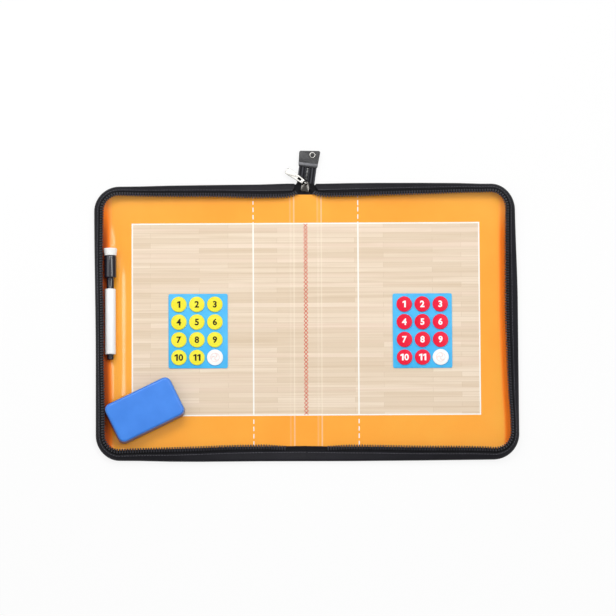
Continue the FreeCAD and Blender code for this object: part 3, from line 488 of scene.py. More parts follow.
# radius and wrap of the strip at each station
def stripForm(side, places):
    head, flank, foot = caseEdge["slump"][side]
    runs = [np.stack([np.linspace(0, cornerX, len(head)), np.full(len(head), outerY)], 1),
            np.stack([np.full(len(flank), outerX), np.linspace(cornerY, -cornerY, len(flank))], 1),
            np.stack([np.linspace(cornerX, 0, len(foot)), np.full(len(foot), -outerY)], 1)]
    marks = np.concatenate(runs)
    key = np.concatenate([[0], np.cumsum(np.linalg.norm(np.diff(marks, axis=0), axis=1))])
    # a station's key is read off the same square-cornered round
    x, y = np.abs(places[:, 0]), places[:, 1]
    corner = math.hypot(caseEdge["cornerRadius"], caseEdge["cornerRadius"])
    past = np.clip(x - cornerX, 0, None)
    rise = np.clip(np.abs(y) - cornerY, 0, None)
    fromEnd = np.minimum(x, cornerX) + corner * np.arctan2(past, rise) / (math.pi / 2)
    where = np.where(y > 0, fromEnd, key[-1] - fromEnd)
    where = np.where(rise > 0, where, cornerX + corner + cornerY - y)
    steps = np.concatenate([head, flank, foot])
    slump = np.mean([np.interp(where + shift * mm, key, steps) for shift in caseEdge["slumpSpread"]], axis=0)
    short, long = caseEdge["waverLengths"]
    slump = slump + caseEdge["waver"] * np.sin(where / short) * np.sin(where / long)
    radius = caseEdge["uprightRadius"] + slump * (caseEdge["slumpRadius"] - caseEdge["uprightRadius"])
    wrap = caseEdge["uprightWrap"] + slump * (caseEdge["slumpWrap"] - caseEdge["uprightWrap"])
    return radius, np.radians(wrap)


# a point of the strip: reach is measured along it from its foot, inset from its outer face
def stripPoint(reach, radius, wrap, inset=0.0):
    onArc = np.minimum(reach, radius * (wrap + math.pi / 2))
    angle = onArc / radius - math.pi / 2
    beyond = reach - onArc
    u = radius - (radius - inset) * np.cos(angle) + beyond * np.sin(wrap)
    z = radius + (radius - inset) * np.sin(angle) + beyond * np.cos(wrap)
    return u, z


def inCase(places, inward, u, z):
    return np.concatenate([places + inward * u[:, None], z[:, None]], axis=1)


# the outline's settling, which fades out away from the edge
def settle(points):
    x, y = points[..., 0].copy(), points[..., 1].copy()
    headX, head = np.array(caseEdge["headBow"]).T * mm
    footX, foot = np.array(caseEdge["footBow"]).T * mm
    points[..., 1] += np.interp(x, headX, head) * smoothstep(y, caseEdge["settleEnds"], outerY)
    points[..., 1] -= np.interp(x, footX, foot) * smoothstep(-y, caseEdge["settleEnds"], outerY)
    atHead, atFoot = caseEdge["leftDrawn"]
    leftDrawn = atFoot + (atHead - atFoot) * smoothstep(y, *caseEdge["leftDrawRun"])
    rightDrawn = caseEdge["rightHeadDrawn"] * smoothstep(y, *caseEdge["rightDrawRun"])
    points[..., 0] += leftDrawn * smoothstep(-x, caseEdge["settleSides"], outerX)
    points[..., 0] -= rightDrawn * smoothstep(x, caseEdge["settleSides"], outerX)
    return points


# ascending values that hold every mark and leave no gap wider than step
def spaced(marks, step):
    marks = sorted(marks)
    values = []
    for low, high in zip(marks, marks[1:]):
        count = max(1, math.ceil((high - low) / step))
        values += [low + (high - low) * k / count for k in range(count)]
    return values + [marks[-1]]


def bendAtCrease(piece):
    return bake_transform(piece)


bandColumns = spaced([0, creaseX - caseEdge["creaseBand"], creaseX + caseEdge["creaseBand"], cornerX],
                     caseEdge["step"])
bandRows = list(reversed(spaced([-cornerY, cornerY], caseEdge["step"])))


# distance along a line of points
def alongLine(points):
    return np.concatenate([[0], np.cumsum(np.linalg.norm(np.diff(points, axis=0), axis=1))])


# the leather gusset, with a turned hem
def makeGusset(side):
    places, inward = edgeRoute(signs[side], bandColumns, bandRows, bandColumns)
    radius, wrap = stripForm(side, places)
    # under the tail the gusset is cut low
    low = np.where(places[:, 1] > 0, smoothstep(np.abs(places[:, 0]), *caseEdge["hemDrop"]), 1)
    end = caseEdge["gusset"] * (caseEdge["hemLeft"] + (1 - caseEdge["hemLeft"]) * low)
    section = []
    across = []
    shares = np.linspace(0, 1, caseEdge["hemSteps"])
    for share in shares:
        section.append(inCase(places, inward, *stripPoint(end * share, radius, wrap)))
        across.append(end * share)
    brow = end + caseEdge["hemRound"]
    section.append(inCase(places, inward, *stripPoint(brow, radius, wrap, caseEdge["skin"] / 2)))
    across.append(brow)
    for share in shares[::-1]:
        section.append(inCase(places, inward, *stripPoint(end * share, radius, wrap, caseEdge["skin"])))
        across.append(end * (2 - share))
    run = alongLine(places)
    sheetMap = np.stack([np.repeat(run[:, None], len(section), 1), np.stack(across, 1)], 2)
    piece = sweepPiece(f"{side}_gusset_leather", settle(np.stack(section, 1)), leather, sheetMap)
    bendAtCrease(piece)
    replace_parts(piece, f"{side}_gusset", "spine_foot_gusset" if side == "left" else "spine_tail_gusset")
    seam = stripPoint(end - caseEdge["stitchInset"], radius, wrap, -caseEdge["stitchRise"])
    hem = inCase(places, inward, *seam)
    up = np.stack([-inward[:, 0] * np.cos(wrap), -inward[:, 1] * np.cos(wrap), np.sin(wrap)], 1)
    atMiddle = (places[:, 1] < 0) & (np.abs(places[:, 0]) < caseEdge["stitchGap"])
    clear = (low > caseEdge["hemFull"]) & ~atMiddle
    out = np.concatenate([-inward * np.sin(wrap)[:, None], -np.cos(wrap)[:, None]], 1)
    return settle(hem)[clear], up[clear], out[clear]


# the zip's tail leaves the head of the spine along the slider's way
tailLook = {
    "inner": 1.5 * mm, "outer": 10 * mm, "reach": 32 * mm, "start": 4 * mm, "root": 2.5 * mm, "top": 4.8 * mm,
    # round one tape, in millimetres across and up, and stations along it
    "section": ((10, -0.05), (8.2, 0.03), (6.4, -0.05), (4.6, 0.03), (2.8, -0.05), (1.25, -0.1), (1.25, -0.8),
                (5, -0.8), (10, -0.8)), "stations": 16,
}
tailWay = np.array(joints["slider_travel"]["axis"])
tailAcross = np.array([tailWay[1], -tailWay[0], 0])
sliderLow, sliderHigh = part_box("slider_body")
tailRoot = np.array([0, (sliderLow.y + sliderHigh.y) / 2, 0])


def onTail(across, along, z):
    return tailRoot + tailAcross * across + tailWay * along + np.array([0, 0, z])


def bezier(a, b, c, d, share):
    s = np.asarray(share)[:, None]
    return a * (1 - s) ** 3 + 3 * b * s * (1 - s) ** 2 + 3 * c * s * s * (1 - s) + d * s ** 3


tapeLook = {
    "inset": 0.96 * mm, "lead": 0.5 * mm, "turnSteps": 20,
    # how far the turn past the slider runs on from the tail, and back from the edge
    "outerPull": (3 * mm, 9 * mm), "innerPull": (9 * mm, 14 * mm), "turnRise": 0.25,
    "ribs": (0, 0.1, 0.02, 0.12, 0.02, 0.12, 0.02, 0.1, 0.3, 0.3, 0.05, 0),  # millimetres
    # the coil draws back over the tape before its end at the foot
    "tuck": 2.0 * mm, "tuckRun": 34 * mm, "coilInset": 0.5 * mm, "coilLift": 0.2 * mm, "coilStart": 9,
}


# zip tape: down the tail, round past the slider's mouth and on along the edge
def makeTape(side):
    sign = signs[side]
    headColumns = [x for x in bandColumns if x >= caseEdge["turnStart"]]
    places, inward = edgeRoute(sign, headColumns, bandRows, bandColumns)
    radius, wrap = stripForm(side, places)
    underHem = caseEdge["gusset"] - caseEdge["underHem"]
    outer = inCase(places, inward, *stripPoint(underHem, radius, wrap, tapeLook["inset"]))
    inner = inCase(places, inward, *stripPoint(caseEdge["strip"], radius, wrap, tapeLook["inset"]))
    up = np.stack([-inward[:, 0] * np.cos(wrap), -inward[:, 1] * np.cos(wrap), np.sin(wrap)], 1)
    outer, inner = settle(outer), settle(inner)
    tailSteps = np.array([tailLook["start"] + tapeLook["lead"], tailLook["start"]])
    tailOuter = np.array([onTail(sign * tailLook["outer"], step, tailLook["top"]) for step in tailSteps])
    tailInner = np.array([onTail(sign * tailLook["inner"], step, tailLook["top"]) for step in tailSteps])
    share = np.linspace(0, 1, tapeLook["turnSteps"])[1:-1]
    toSpine = np.array([-sign, 0, 0])
    ease = smoothstep(share, tapeLook["turnRise"], 1)[:, None]

    def withTurn(tail, edge, pull):
        fromTail, fromEdge = pull
        turn = bezier(tail[-1], tail[-1] - tailWay * fromTail, edge[0] + toSpine * fromEdge, edge[0], share)
        turn[:, 2] = tailLook["top"] + (edge[0, 2] - tailLook["top"]) * ease[:, 0]
        return np.concatenate([tail, turn, edge])

    outer = withTurn(tailOuter, outer, tapeLook["outerPull"])
    inner = withTurn(tailInner, inner, tapeLook["innerPull"])
    turnUp = np.array([0, 0, 1]) * (1 - ease) + up[0] * ease
    up = np.concatenate([np.tile([0, 0, 1.0], (len(tailSteps), 1)), turnUp, up])
    width = np.linalg.norm(inner - outer, axis=1)
    section = []
    across = []
    shares = np.linspace(0, 1, len(tapeLook["ribs"]))
    for share, rib in zip(shares, tapeLook["ribs"]):
        section.append(outer + (inner - outer) * share + up * rib * mm)
        across.append(width * share)
    for share in shares[::-1]:
        section.append(outer + (inner - outer) * share - up * caseEdge["tape"])
        across.append(width * (2 - share))
    run = alongLine((outer + inner) / 2)
    sheetMap = np.stack([np.repeat(run[:, None], len(section), 1), np.stack(across, 1)], 2)
    piece = sweepPiece(f"{side}_zip_tape_cloth", np.stack(section, 1), tapeCloth, sheetMap)
    bendAtCrease(piece)
    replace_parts(piece, f"{side}_zip_tape")
    # the coil sits on the inner edge, from the slider's mouth to short of the foot's crease
    first = len(tailSteps) + tapeLook["coilStart"]
    short = (inner[:, 1] < 0) & (np.abs(inner[:, 0]) < creaseX + caseEdge["foldReach"])
    keep = ~short
    keep[:first] = False
    way = (inner - outer) / width[:, None]
    tuck = smoothstep(np.abs(inner[:, :1]), creaseX, creaseX + tapeLook["tuckRun"])
    tuck = np.where(inner[:, 1:2] < 0, 1 - tuck, 0) * tapeLook["tuck"]
    rail = inner - way * (tapeLook["coilInset"] + tuck) + up * tapeLook["coilLift"]
    return rail[keep], up[keep], way[keep]


# the two tapes of the tail, drawn together under the closed coil
def makeTail(side):
    around = tailLook["section"]
    run = np.linspace(tailLook["root"], tailLook["reach"], tailLook["stations"])
    section = np.array([[onTail(signs[side] * across * mm, along, tailLook["top"] + rise * mm)
                         for across, rise in around] for along in run])
    sheetMap = np.array([[(along, across * mm) for across, rise in around] for along in run])
    piece = sweepPiece(side + "_tail_cloth", section, tailCloth, sheetMap)
    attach(piece, "spine")
    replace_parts(piece, "tail_tape")


hems = {}
coils = {}
for side in signs:
    hems[side] = makeGusset(side)
    coils[side] = makeTape(side)
    makeTail(side)
print("edges and tapes swept")

# the printed lining, the cover and what both share: a flat middle and a ring out to the edge
court = {"centreY": 4 * mm, "halfWidth": 196.4 * mm, "halfDepth": 109.35 * mm, "attack": 59.4 * mm,
         "line": 1.55 * mm, "dashLine": 1.15 * mm, "dashPitch": 8.2 * mm, "dash": 5 * mm, "dashStart": 9 * mm,
         "dashes": 5}
lining = {"thickness": 0.8 * mm, "sideRise": 29 * mm, "endRise": 18 * mm, "step": 6 * mm,
          "groove": 0.22 * mm, "grooveWidth": 0.9 * mm, "ridge": 0.08 * mm, "ridgeWidth": 0.6 * mm,
          "weldOffset": 2.3 * mm, "weldWidth": 0.5 * mm, "wear": (0.5, 0.16),
          "foldReach": 3.4 * mm, "creaseHalf": 0.8 * mm,
          "slack": 0.18 * mm, "slackLengths": (31 * mm, 47 * mm), "slackBend": 1.3,
          "slackRun": (24 * mm, 60 * mm),
          # its end under the hem, which keeps a least height at the ends and more at the sides
          "seamDepth": 3, "seamLap": 1.2 * mm, "seamDrop": 0.8 * mm, "endLow": 0.5, "sideLow": 0.8,
          "tailRun": (9 * mm, 24 * mm), "tailEnd": 12.2 * mm, "rimSteps": 7, "rimCurve": 2.6,
          # place in from the left edge, half width, height and where it has died out towards the head
          "rolls": ((16.5 * mm, 6 * mm, 2.25 * mm, 122 * mm), (29.5 * mm, 5.5 * mm, 2.1 * mm, 84 * mm)),
          "rollFade": 34 * mm, "rollFoot": (0.018, 0.04), "rollWaver": 0.05, "rollWaverLength": 17 * mm,
          "rollPhase": 0.8,
          # where the painted shade beside the tape starts and is full, out from the tape's edge, and how deep
          # it is
          "turnLeft": (13 * mm, 4 * mm, 1.0), "turnRight": (10.5 * mm, 5.5 * mm, 0.55),
          "turnFade": (90 * mm, 140 * mm), "turnLoss": 0.6}
dashEnds = [court["dashStart"] + court["dashPitch"] * k + court["dash"] * end
            for k in range(court["dashes"]) for end in (0, 1)]
lineHalf = court["line"] / 2
dashHalf = court["dashLine"] / 2
weldMarks = [creaseX + side * (lining["weldOffset"] + edge * lining["weldWidth"])
             for side in (-1, 1) for edge in (-1, 0, 1)]
creaseMarks = [creaseX, *[creaseX + side * reach for side in (-1, 1)
                          for reach in (lining["creaseHalf"], lining["foldReach"])]]
attackMarks = [court["attack"] + edge for edge in (-lineHalf, -dashHalf, dashHalf, lineHalf)]
sideMarks = [court["halfWidth"] - lineHalf, court["halfWidth"] + lineHalf]
rollMarks = [outerX - u * mm for u in (38, 35.5, 33.4, 31.2)]  # closer together over the rolls
columns = spaced([0, lining["step"], *creaseMarks, *weldMarks, *attackMarks, *sideMarks, cornerX, *rollMarks],
                 lining["step"])
rowMarks = [court["centreY"] + end * court["halfDepth"] + edge * lineHalf
            for end in (-1, 1) for edge in (-1, 1)]
rowMarks += [end * (outerY - u) for u in dashEnds if outerY - u < cornerY for end in (-1, 1)]
rows = spaced([-cornerY, *rowMarks, cornerY], lining["step"])[::-1]
ringMarks = [29, 27.2, 25.4, 23.8, 22.2, 20.9, 19.6, 18.4, 17.2, 15.6, 14]  # millimetres in from the edge


def layPanel(name, side, ringU, ringZ, flatZ, materials, pickSlot):
    sign = signs[side]
    grid = np.array([(sign * x, y) for y in rows for x in columns])
    flat = np.concatenate([grid, flatZ(grid)[:, None]], 1)
    across, down = len(columns), len(rows)
    ringFoot = list(range(across)) + [across - 1] * (caseEdge["cornerSteps"] - 1)
    ringFoot += [row * across + across - 1 for row in range(down)]
    ringFoot += [down * across - 1] * (caseEdge["cornerSteps"] - 1)
    ringFoot += [(down - 1) * across + column for column in reversed(range(across))]
    places, inward = edgeRoute(sign, columns, rows, columns)
    stations, depth = ringU.shape
    ring = np.stack([inCase(places, inward, ringU[:, k], ringZ[:, k]) for k in range(1, depth)], 1)
    points = settle(np.concatenate([flat, ring.reshape(-1, 3)]))

    def vertex(station, k):
        return ringFoot[station] if k == 0 else len(flat) + station * (depth - 1) + k - 1

    faces = []
    for row in range(down - 1):
        for column in range(across - 1):
            start = row * across + column
            faces.append((start, start + 1, start + across + 1, start + across))
    for station in range(stations - 1):
        for k in range(depth - 1):
            after = station + 1
            face = [vertex(station, k), vertex(station, k + 1), vertex(after, k + 1), vertex(after, k)]
            if len(set(face)) > 2:
                faces.append(tuple(dict.fromkeys(face)))
    slots = [pickSlot(*points[list(face)].mean(0)[:2]) for face in faces]
    piece = makePiece(name, points, faces, materials, slots, points[:, :2])
    panel = bmesh.new()
    panel.from_mesh(piece.data)
    bmesh.ops.recalc_face_normals(panel, faces=panel.faces)
    if sum(face.normal.z for face in panel.faces) < 0:
        bmesh.ops.reverse_faces(panel, faces=panel.faces)
    panel.to_mesh(piece.data)
    panel.free()
    return piece


def thicken(piece, thickness, offset):
    wall = piece.modifiers.new("wall", "SOLIDIFY")
    wall.thickness = thickness
    wall.offset = offset
    applyModifiers(piece)
    piece.data.set_sharp_from_angle(angle=sharpFrom["soft"])


# which ink lies at a place of the lining: 0 orange, 1 maple, 2 white
def inkAt(x, y):
    x = abs(x)
    beyond = max(x - court["halfWidth"], abs(y - court["centreY"]) - court["halfDepth"])
    if abs(beyond) < lineHalf:
        return 2
    onAttack = abs(x - court["attack"]) < lineHalf
    if beyond < 0:
        return 2 if onAttack else 1
    place = (outerY - abs(y) - court["dashStart"]) % court["dashPitch"]
    return 2 if abs(x - court["attack"]) < dashHalf and place < court["dash"] else 0


penLow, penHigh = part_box("pen_barrel")
penX = (penLow.x + penHigh.x) / 2
penEnds = (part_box("pen_tail_plug")[0].y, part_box("cap_brush")[1].y)
feltPoints = [vertex.co for vertex in nodes["eraser_felt"].data.vertices]
feltCorners = [min(feltPoints, key=lambda p: p.x), min(feltPoints, key=lambda p: p.y),
               max(feltPoints, key=lambda p: p.x), max(feltPoints, key=lambda p: p.y)]


# slack sheet that stands up in two low rolls beside the left edge
def swell(points):
    x, y = points[..., 0], points[..., 1]
    waver = lining["rollWaver"] * np.sin(y / lining["rollWaverLength"] + lining["rollPhase"])
    fade = (1 - lining["rollWaver"] + waver) * smoothstep(outerY + y, *lining["rollFoot"])
    rise = 0
    for at, width, height, end in lining["rolls"]:
        left = smoothstep(end - y, 0, lining["rollFade"])
        rise = rise + left * height * np.exp(-((x + outerX - at) / width) ** 2)
    return fade * rise


press = {"clear": 0.12 * mm, "penSpan": 1.3, "feltReach": (-6 * mm, -1.5 * mm)}


# the lining gives way under the pen and the eraser
def pressed(points, height):
    x, y = points[..., 0], points[..., 1]
    penRadius = (penHigh.x - penLow.x) / 2
    least = panelTop + press["clear"]
    underPen = least + (x - penX) ** 2 / (2 * penRadius)
    alongPen = (y > penEnds[0]) & (y < penEnds[1]) & (np.abs(x - penX) < press["penSpan"] * penRadius)
    height = np.where(alongPen, np.minimum(height, underPen), height)
    inside = np.full(x.shape, 1.0)  # how far inside the felt's four sides
    for a, b in zip(feltCorners, feltCorners[1:] + feltCorners[:1]):
        way = (b - a).xy.normalized()
        inside = np.minimum(inside, way.x * (y - a.y) - way.y * (x - a.x))
    share = smoothstep(inside, *press["feltReach"])
    return height * (1 - share) + np.minimum(height, least) * share


def liningFlat(grid):
    x, y = grid[:, 0], grid[:, 1]
    fromCrease = np.abs(x) - creaseX
    groove = lining["groove"] * np.exp(-(fromCrease / lining["grooveWidth"]) ** 2)
    fromWeld = np.abs(fromCrease) - lining["weldOffset"]
    ridge = lining["ridge"] * np.exp(-(fromWeld / lining["ridgeWidth"]) ** 2)
    lengthX, lengthY = lining["slackLengths"]
    wave = np.sin(x / lengthX + lining["slackBend"] * np.sin(y / lengthY))
    slack = lining["slack"] * (0.5 + 0.5 * wave) * smoothstep(np.abs(x), *lining["slackRun"])
    return pressed(grid, panelTop - groove + ridge + slack + swell(grid))


def makeLining(side):
    places, inward = edgeRoute(signs[side], columns, rows, columns)
    radius, wrap = stripForm(side, places)
    sideways = np.abs(inward[:, 0])
    underHem = caseEdge["gusset"] - caseEdge["underHem"]
    seamU, seamZ = stripPoint(underHem, radius, wrap, lining["seamDepth"] * caseEdge["skin"])
    endU = seamU + lining["seamLap"]
    least = panelTop + (lining["endLow"] + lining["sideLow"] * sideways) * mm
    endZ = np.maximum(seamZ - lining["seamDrop"], least)
    atTail = (places[:, 1] > 0) * (1 - smoothstep(np.abs(places[:, 0]), *lining["tailRun"]))
    endU = endU * (1 - atTail) + np.maximum(endU, lining["tailEnd"]) * atTail
    endZ = endZ * (1 - atTail) + panelTop * atTail
    fixed = np.tile(np.array(ringMarks) * mm, (len(places), 1))
    steps = np.linspace(0, 1, lining["rimSteps"])[None, 1:]
    tail = fixed[:, -1:] + (endU[:, None] - fixed[:, -1:]) * steps
    ringU = np.concatenate([fixed, tail], 1)
    start = lining["endRise"] + (lining["sideRise"] - lining["endRise"]) * sideways
    share = np.clip((start[:, None] - ringU) / (start - endU)[:, None], 0, 1)
    ringZ = panelTop + (endZ - panelTop)[:, None] * share ** lining["rimCurve"]
    spots = places[:, None, :] + inward[:, None, :] * ringU[:, :, None]
    ringZ = ringZ + (liningFlat(spots[:, 0]) - panelTop - swell(spots[:, 0]))[:, None] * (1 - share)
    ringZ = pressed(spots, ringZ + swell(spots))
    piece = layPanel(f"{side}_lining_print", side, ringU, ringZ, liningFlat,
                     [orangeVinyl, courtVinyl, lineVinyl], inkAt)
    thicken(piece, lining["thickness"], -1)
    x, y = np.array([vertex.co.xy for vertex in piece.data.vertices]).T
    flank = np.stack([np.full(len(y), signs[side] * outerX), y], 1)
    fromTape = np.abs(settle(flank.copy())[:, 0]) - np.abs(x)
    fromTape = fromTape - stripPoint(caseEdge["strip"], *stripForm(side, flank))[0]
    fromCrease = x - signs[side] * creaseX
    offset = np.abs(fromCrease) - lining["weldOffset"]
    # painted shade beside the tape, deeper on the left than on the right and fading towards the head
    start, full, depth = lining["turnLeft"] if side == "left" else lining["turnRight"]
    # paler lines beside the welds, the one towards +x paler still as a painted highlight
    wear = np.where(fromCrease > 0, *lining["wear"]) * np.exp(-(offset / lining["weldWidth"]) ** 2)
    left = 1 - lining["turnLoss"] * smoothstep(y, *lining["turnFade"])
    shades = {"weldWear": wear, "rimTurn": depth * smoothstep(fromTape, start, full) * left}
    for key, shade in shades.items():
        layer = piece.data.attributes.new(key, "FLOAT", "POINT")
        layer.data.foreach_set("value", shade.astype(np.float32))
    bendAtCrease(piece)
    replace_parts(piece, f"{side}_lining", *(["spine_lining"] if side == "left" else []))


coverLook = {"groove": 0.6 * mm, "grooveWidth": 1.5 * mm, "lap": 0.5 * mm, "rimSteps": 4}


def coverFlat(grid):
    fromCrease = np.abs(grid[:, 0]) - creaseX
    return coverLook["groove"] * np.exp(-(fromCrease / coverLook["grooveWidth"]) ** 2)


def makeCover(side):
    places, inward = edgeRoute(signs[side], columns, rows, columns)
    radius, wrap = stripForm(side, places)
    fixed = np.tile(np.array(ringMarks) * mm, (len(places), 1))
    steps = np.linspace(0, 1, coverLook["rimSteps"])[None, 1:]
    tail = fixed[:, -1:] + (radius[:, None] + coverLook["lap"] - fixed[:, -1:]) * steps
    ringU = np.concatenate([fixed, tail], 1)
    ringZ = np.repeat(coverFlat(places)[:, None], ringU.shape[1], 1)
    piece = layPanel(f"{side}_cover_leather", side, ringU, ringZ, coverFlat, [leather], lambda x, y: 0)
    thicken(piece, caseEdge["skin"], 1)
    bendAtCrease(piece)
    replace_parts(piece, f"{side}_cover", *(["spine_cover"] if side == "left" else []))


for side in signs:
    makeLining(side)
    makeCover(side)
print("lining and cover laid")


# a tree that sets a small piece at every pitch along a rail, upright to the rail's own lift
def rowTree():
    tree = bpy.data.node_groups.new("rowOnRail", "GeometryNodeTree")
    sockets = {}
    for name, kind, way in (("Rail", "NodeSocketGeometry", "INPUT"), ("Pitch", "NodeSocketFloat", "INPUT"),
                            ("Piece", "NodeSocketObject", "INPUT"), ("Finish", "NodeSocketMaterial", "INPUT"),
                            ("Row", "NodeSocketGeometry", "OUTPUT")):
        sockets[name] = tree.interface.new_socket(name, in_out=way, socket_type=kind).identifier
    given = addNode(tree, "NodeGroupInput").outputs
    curve = addNode(tree, "GeometryNodeMeshToCurve", {"Mesh": given["Rail"]})
    even = addNode(tree, "GeometryNodeResampleCurve", {
        "Curve": curve.outputs["Curve"], "Length": given["Pitch"]}, mode="LENGTH")
    lift = addNode(tree, "GeometryNodeInputNamedAttribute", {"Name": "lift"}, data_type="FLOAT_VECTOR")
    across = addNode(tree, "GeometryNodeInputNamedAttribute", {"Name": "across"}, data_type="FLOAT_VECTOR")
    turn = addNode(tree, "FunctionNodeAxesToRotation", {
        "Primary Axis": lift.outputs["Attribute"], "Secondary Axis": across.outputs["Attribute"]},
        primary_axis="Z", secondary_axis="Y")
    shape = addNode(tree, "GeometryNodeObjectInfo", {"Object": given["Piece"]})
    row = addNode(tree, "GeometryNodeInstanceOnPoints", {
        "Points": even.outputs["Curve"], "Instance": shape.outputs["Geometry"],
        "Rotation": turn.outputs["Rotation"]})
    real = addNode(tree, "GeometryNodeRealizeInstances", {"Geometry": row.outputs["Instances"]})
    coat = addNode(tree, "GeometryNodeSetMaterial", {"Geometry": real.outputs["Geometry"],
                                                     "Material": given["Finish"]})
    addNode(tree, "NodeGroupOutput", {"Row": coat.outputs["Geometry"]})
    return tree, sockets


rowOnRail, rowSockets = rowTree()


# a rounded bar, long in Y, from a bevelled block
def barShape(name, size, bevel):
    shell = bmesh.new()
    bmesh.ops.create_cube(shell, size=1, matrix=Matrix.Diagonal((*size, 1)))
    bmesh.ops.bevel(shell, geom=list(shell.edges), offset=bevel, segments=1, affect="EDGES")
    mesh = bpy.data.meshes.new(name)
    shell.to_mesh(mesh)
    shell.free()
    mesh.polygons.foreach_set("use_smooth", [True] * len(mesh.polygons))
    return bpy.data.objects.new(name, mesh)


def makeRow(name, rail, lift, across, pitch, shape, material):
    points = [tuple(point) for point in rail]
    mesh = bpy.data.meshes.new(name)
    mesh.from_pydata(points, [(i, i + 1) for i in range(len(points) - 1)], [])
    for key, value in (("lift", lift), ("across", across)):
        layer = mesh.attributes.new(key, "FLOAT_VECTOR", "POINT")
        layer.data.foreach_set("vector", np.asarray(value, np.float32).ravel())
    piece = bpy.data.objects.new(name, mesh)
    scene.collection.objects.link(piece)
    row = piece.modifiers.new("row", "NODES")
    row.node_group = rowOnRail
    row[rowSockets["Pitch"]] = pitch
    row[rowSockets["Piece"]] = shape
    row[rowSockets["Finish"]] = material
    return applyModifiers(piece)


zipRow = {"pitch": 2.95 * mm, "tooth": (1.75 * mm, 5.4 * mm, 1.7 * mm), "bevel": 0.4 * mm}
stitchRow = {"pitch": 3.2 * mm, "stitch": (2.4 * mm, 0.5 * mm, 0.42 * mm), "bevel": 0.16 * mm,
             "coverInset": 3.2 * mm, "coverDrop": 0.05 * mm, "creaseClear": 4 * mm}
toothShape = barShape("toothShape", zipRow["tooth"], zipRow["bevel"])
stitchShape = barShape("stitchShape", stitchRow["stitch"], stitchRow["bevel"])
for side, sign in signs.items():
    teeth = makeRow(f"{side}_zip_teeth", *coils[side], zipRow["pitch"], toothShape, highlitNylon)
    bendAtCrease(teeth)
    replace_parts(teeth, f"{side}_zip_coil")
    stitches = makeRow(f"{side}_hem_stitches", *hems[side], stitchRow["pitch"], stitchShape, highlitThread)
    bendAtCrease(stitches)
    places, inward = edgeRoute(sign, bandColumns, bandRows, bandColumns)
    radius, wrap = stripForm(side, places)
    below = np.full(len(places), -stitchRow["coverDrop"])
    seam = settle(inCase(places, inward, radius + stitchRow["coverInset"], below))
    clear = np.abs(places[:, 0]) > creaseX + stitchRow["creaseClear"]
    down = np.tile([0, 0, -1.0], (len(places), 1))
    out = np.concatenate([-inward, np.zeros((len(places), 1))], 1)
    around = makeRow(f"{side}_cover_stitches", seam[clear], down[clear], out[clear], stitchRow["pitch"],
                     stitchShape, highlitThread)
    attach(around, f"{side}_half")


# one tooth of the tail's chain, flat, broad at the tape and narrow at its tip; corners in millimetres
def taperShape(name, corners, thick):
    shell = bmesh.new()
    flat = shell.faces.new([shell.verts.new((x * mm, y * mm, -thick / 2)) for x, y in corners])
    grown = bmesh.ops.extrude_face_region(shell, geom=[flat])["geom"]
    lifted = [item for item in grown if isinstance(item, bmesh.types.BMVert)]
    bmesh.ops.translate(shell, vec=(0, 0, thick), verts=lifted)
    bmesh.ops.recalc_face_normals(shell, faces=shell.faces)
    mesh = bpy.data.meshes.new(name)
    shell.to_mesh(mesh)
    shell.free()
    return bpy.data.objects.new(name, mesh)


# the net's mark on the court: a chain of small crosses in red ink
def crossShape(name, width, depth, bar, thick):
    shell = bmesh.new()
    slope = math.atan2(depth, width)
    length = math.hypot(width, depth)
    for turn in (slope, -slope):
        matrix = Matrix.Rotation(turn, 4, "Z") @ Matrix.Diagonal((length, bar, thick, 1))
        bmesh.ops.create_cube(shell, size=1, matrix=matrix)
    mesh = bpy.data.meshes.new(name)
    shell.to_mesh(mesh)
    shell.free()
    return bpy.data.objects.new(name, mesh)


railPoints = 40  # of a straight rail
upright = np.tile([0, 0, 1.0], (railPoints, 1))
netMark = {"pitch": 4.4 * mm, "width": 4.4 * mm, "bar": 0.74 * mm, "thick": 0.04 * mm, "lift": 0.03 * mm,
           "short": 2.5 * mm}
netShape = crossShape("netShape", netMark["width"], netMark["pitch"], netMark["bar"], netMark["thick"])
netEnds = [court["centreY"] + end * (court["halfDepth"] - netMark["short"]) for end in (1, -1)]
netRail = np.array([(0, y, panelTop + netMark["lift"]) for y in np.linspace(*netEnds, railPoints)])
net = makeRow("court_net_print", netRail, upright, np.tile([0, 1.0, 0], (railPoints, 1)), netMark["pitch"],
              netShape, netInk)
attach(net, "spine")
print("teeth, stitches and net mark set")

# the tail's hardware
dressNode("end_tab", tabVinyl, "spine", bevel=0.5 * mm, segments=3)
dressNode("tab_rivet", nickel, "spine", bevel=0.12 * mm)
dressNode("slider_body", gunmetal, "zip_slider", bevel=0.18 * mm)
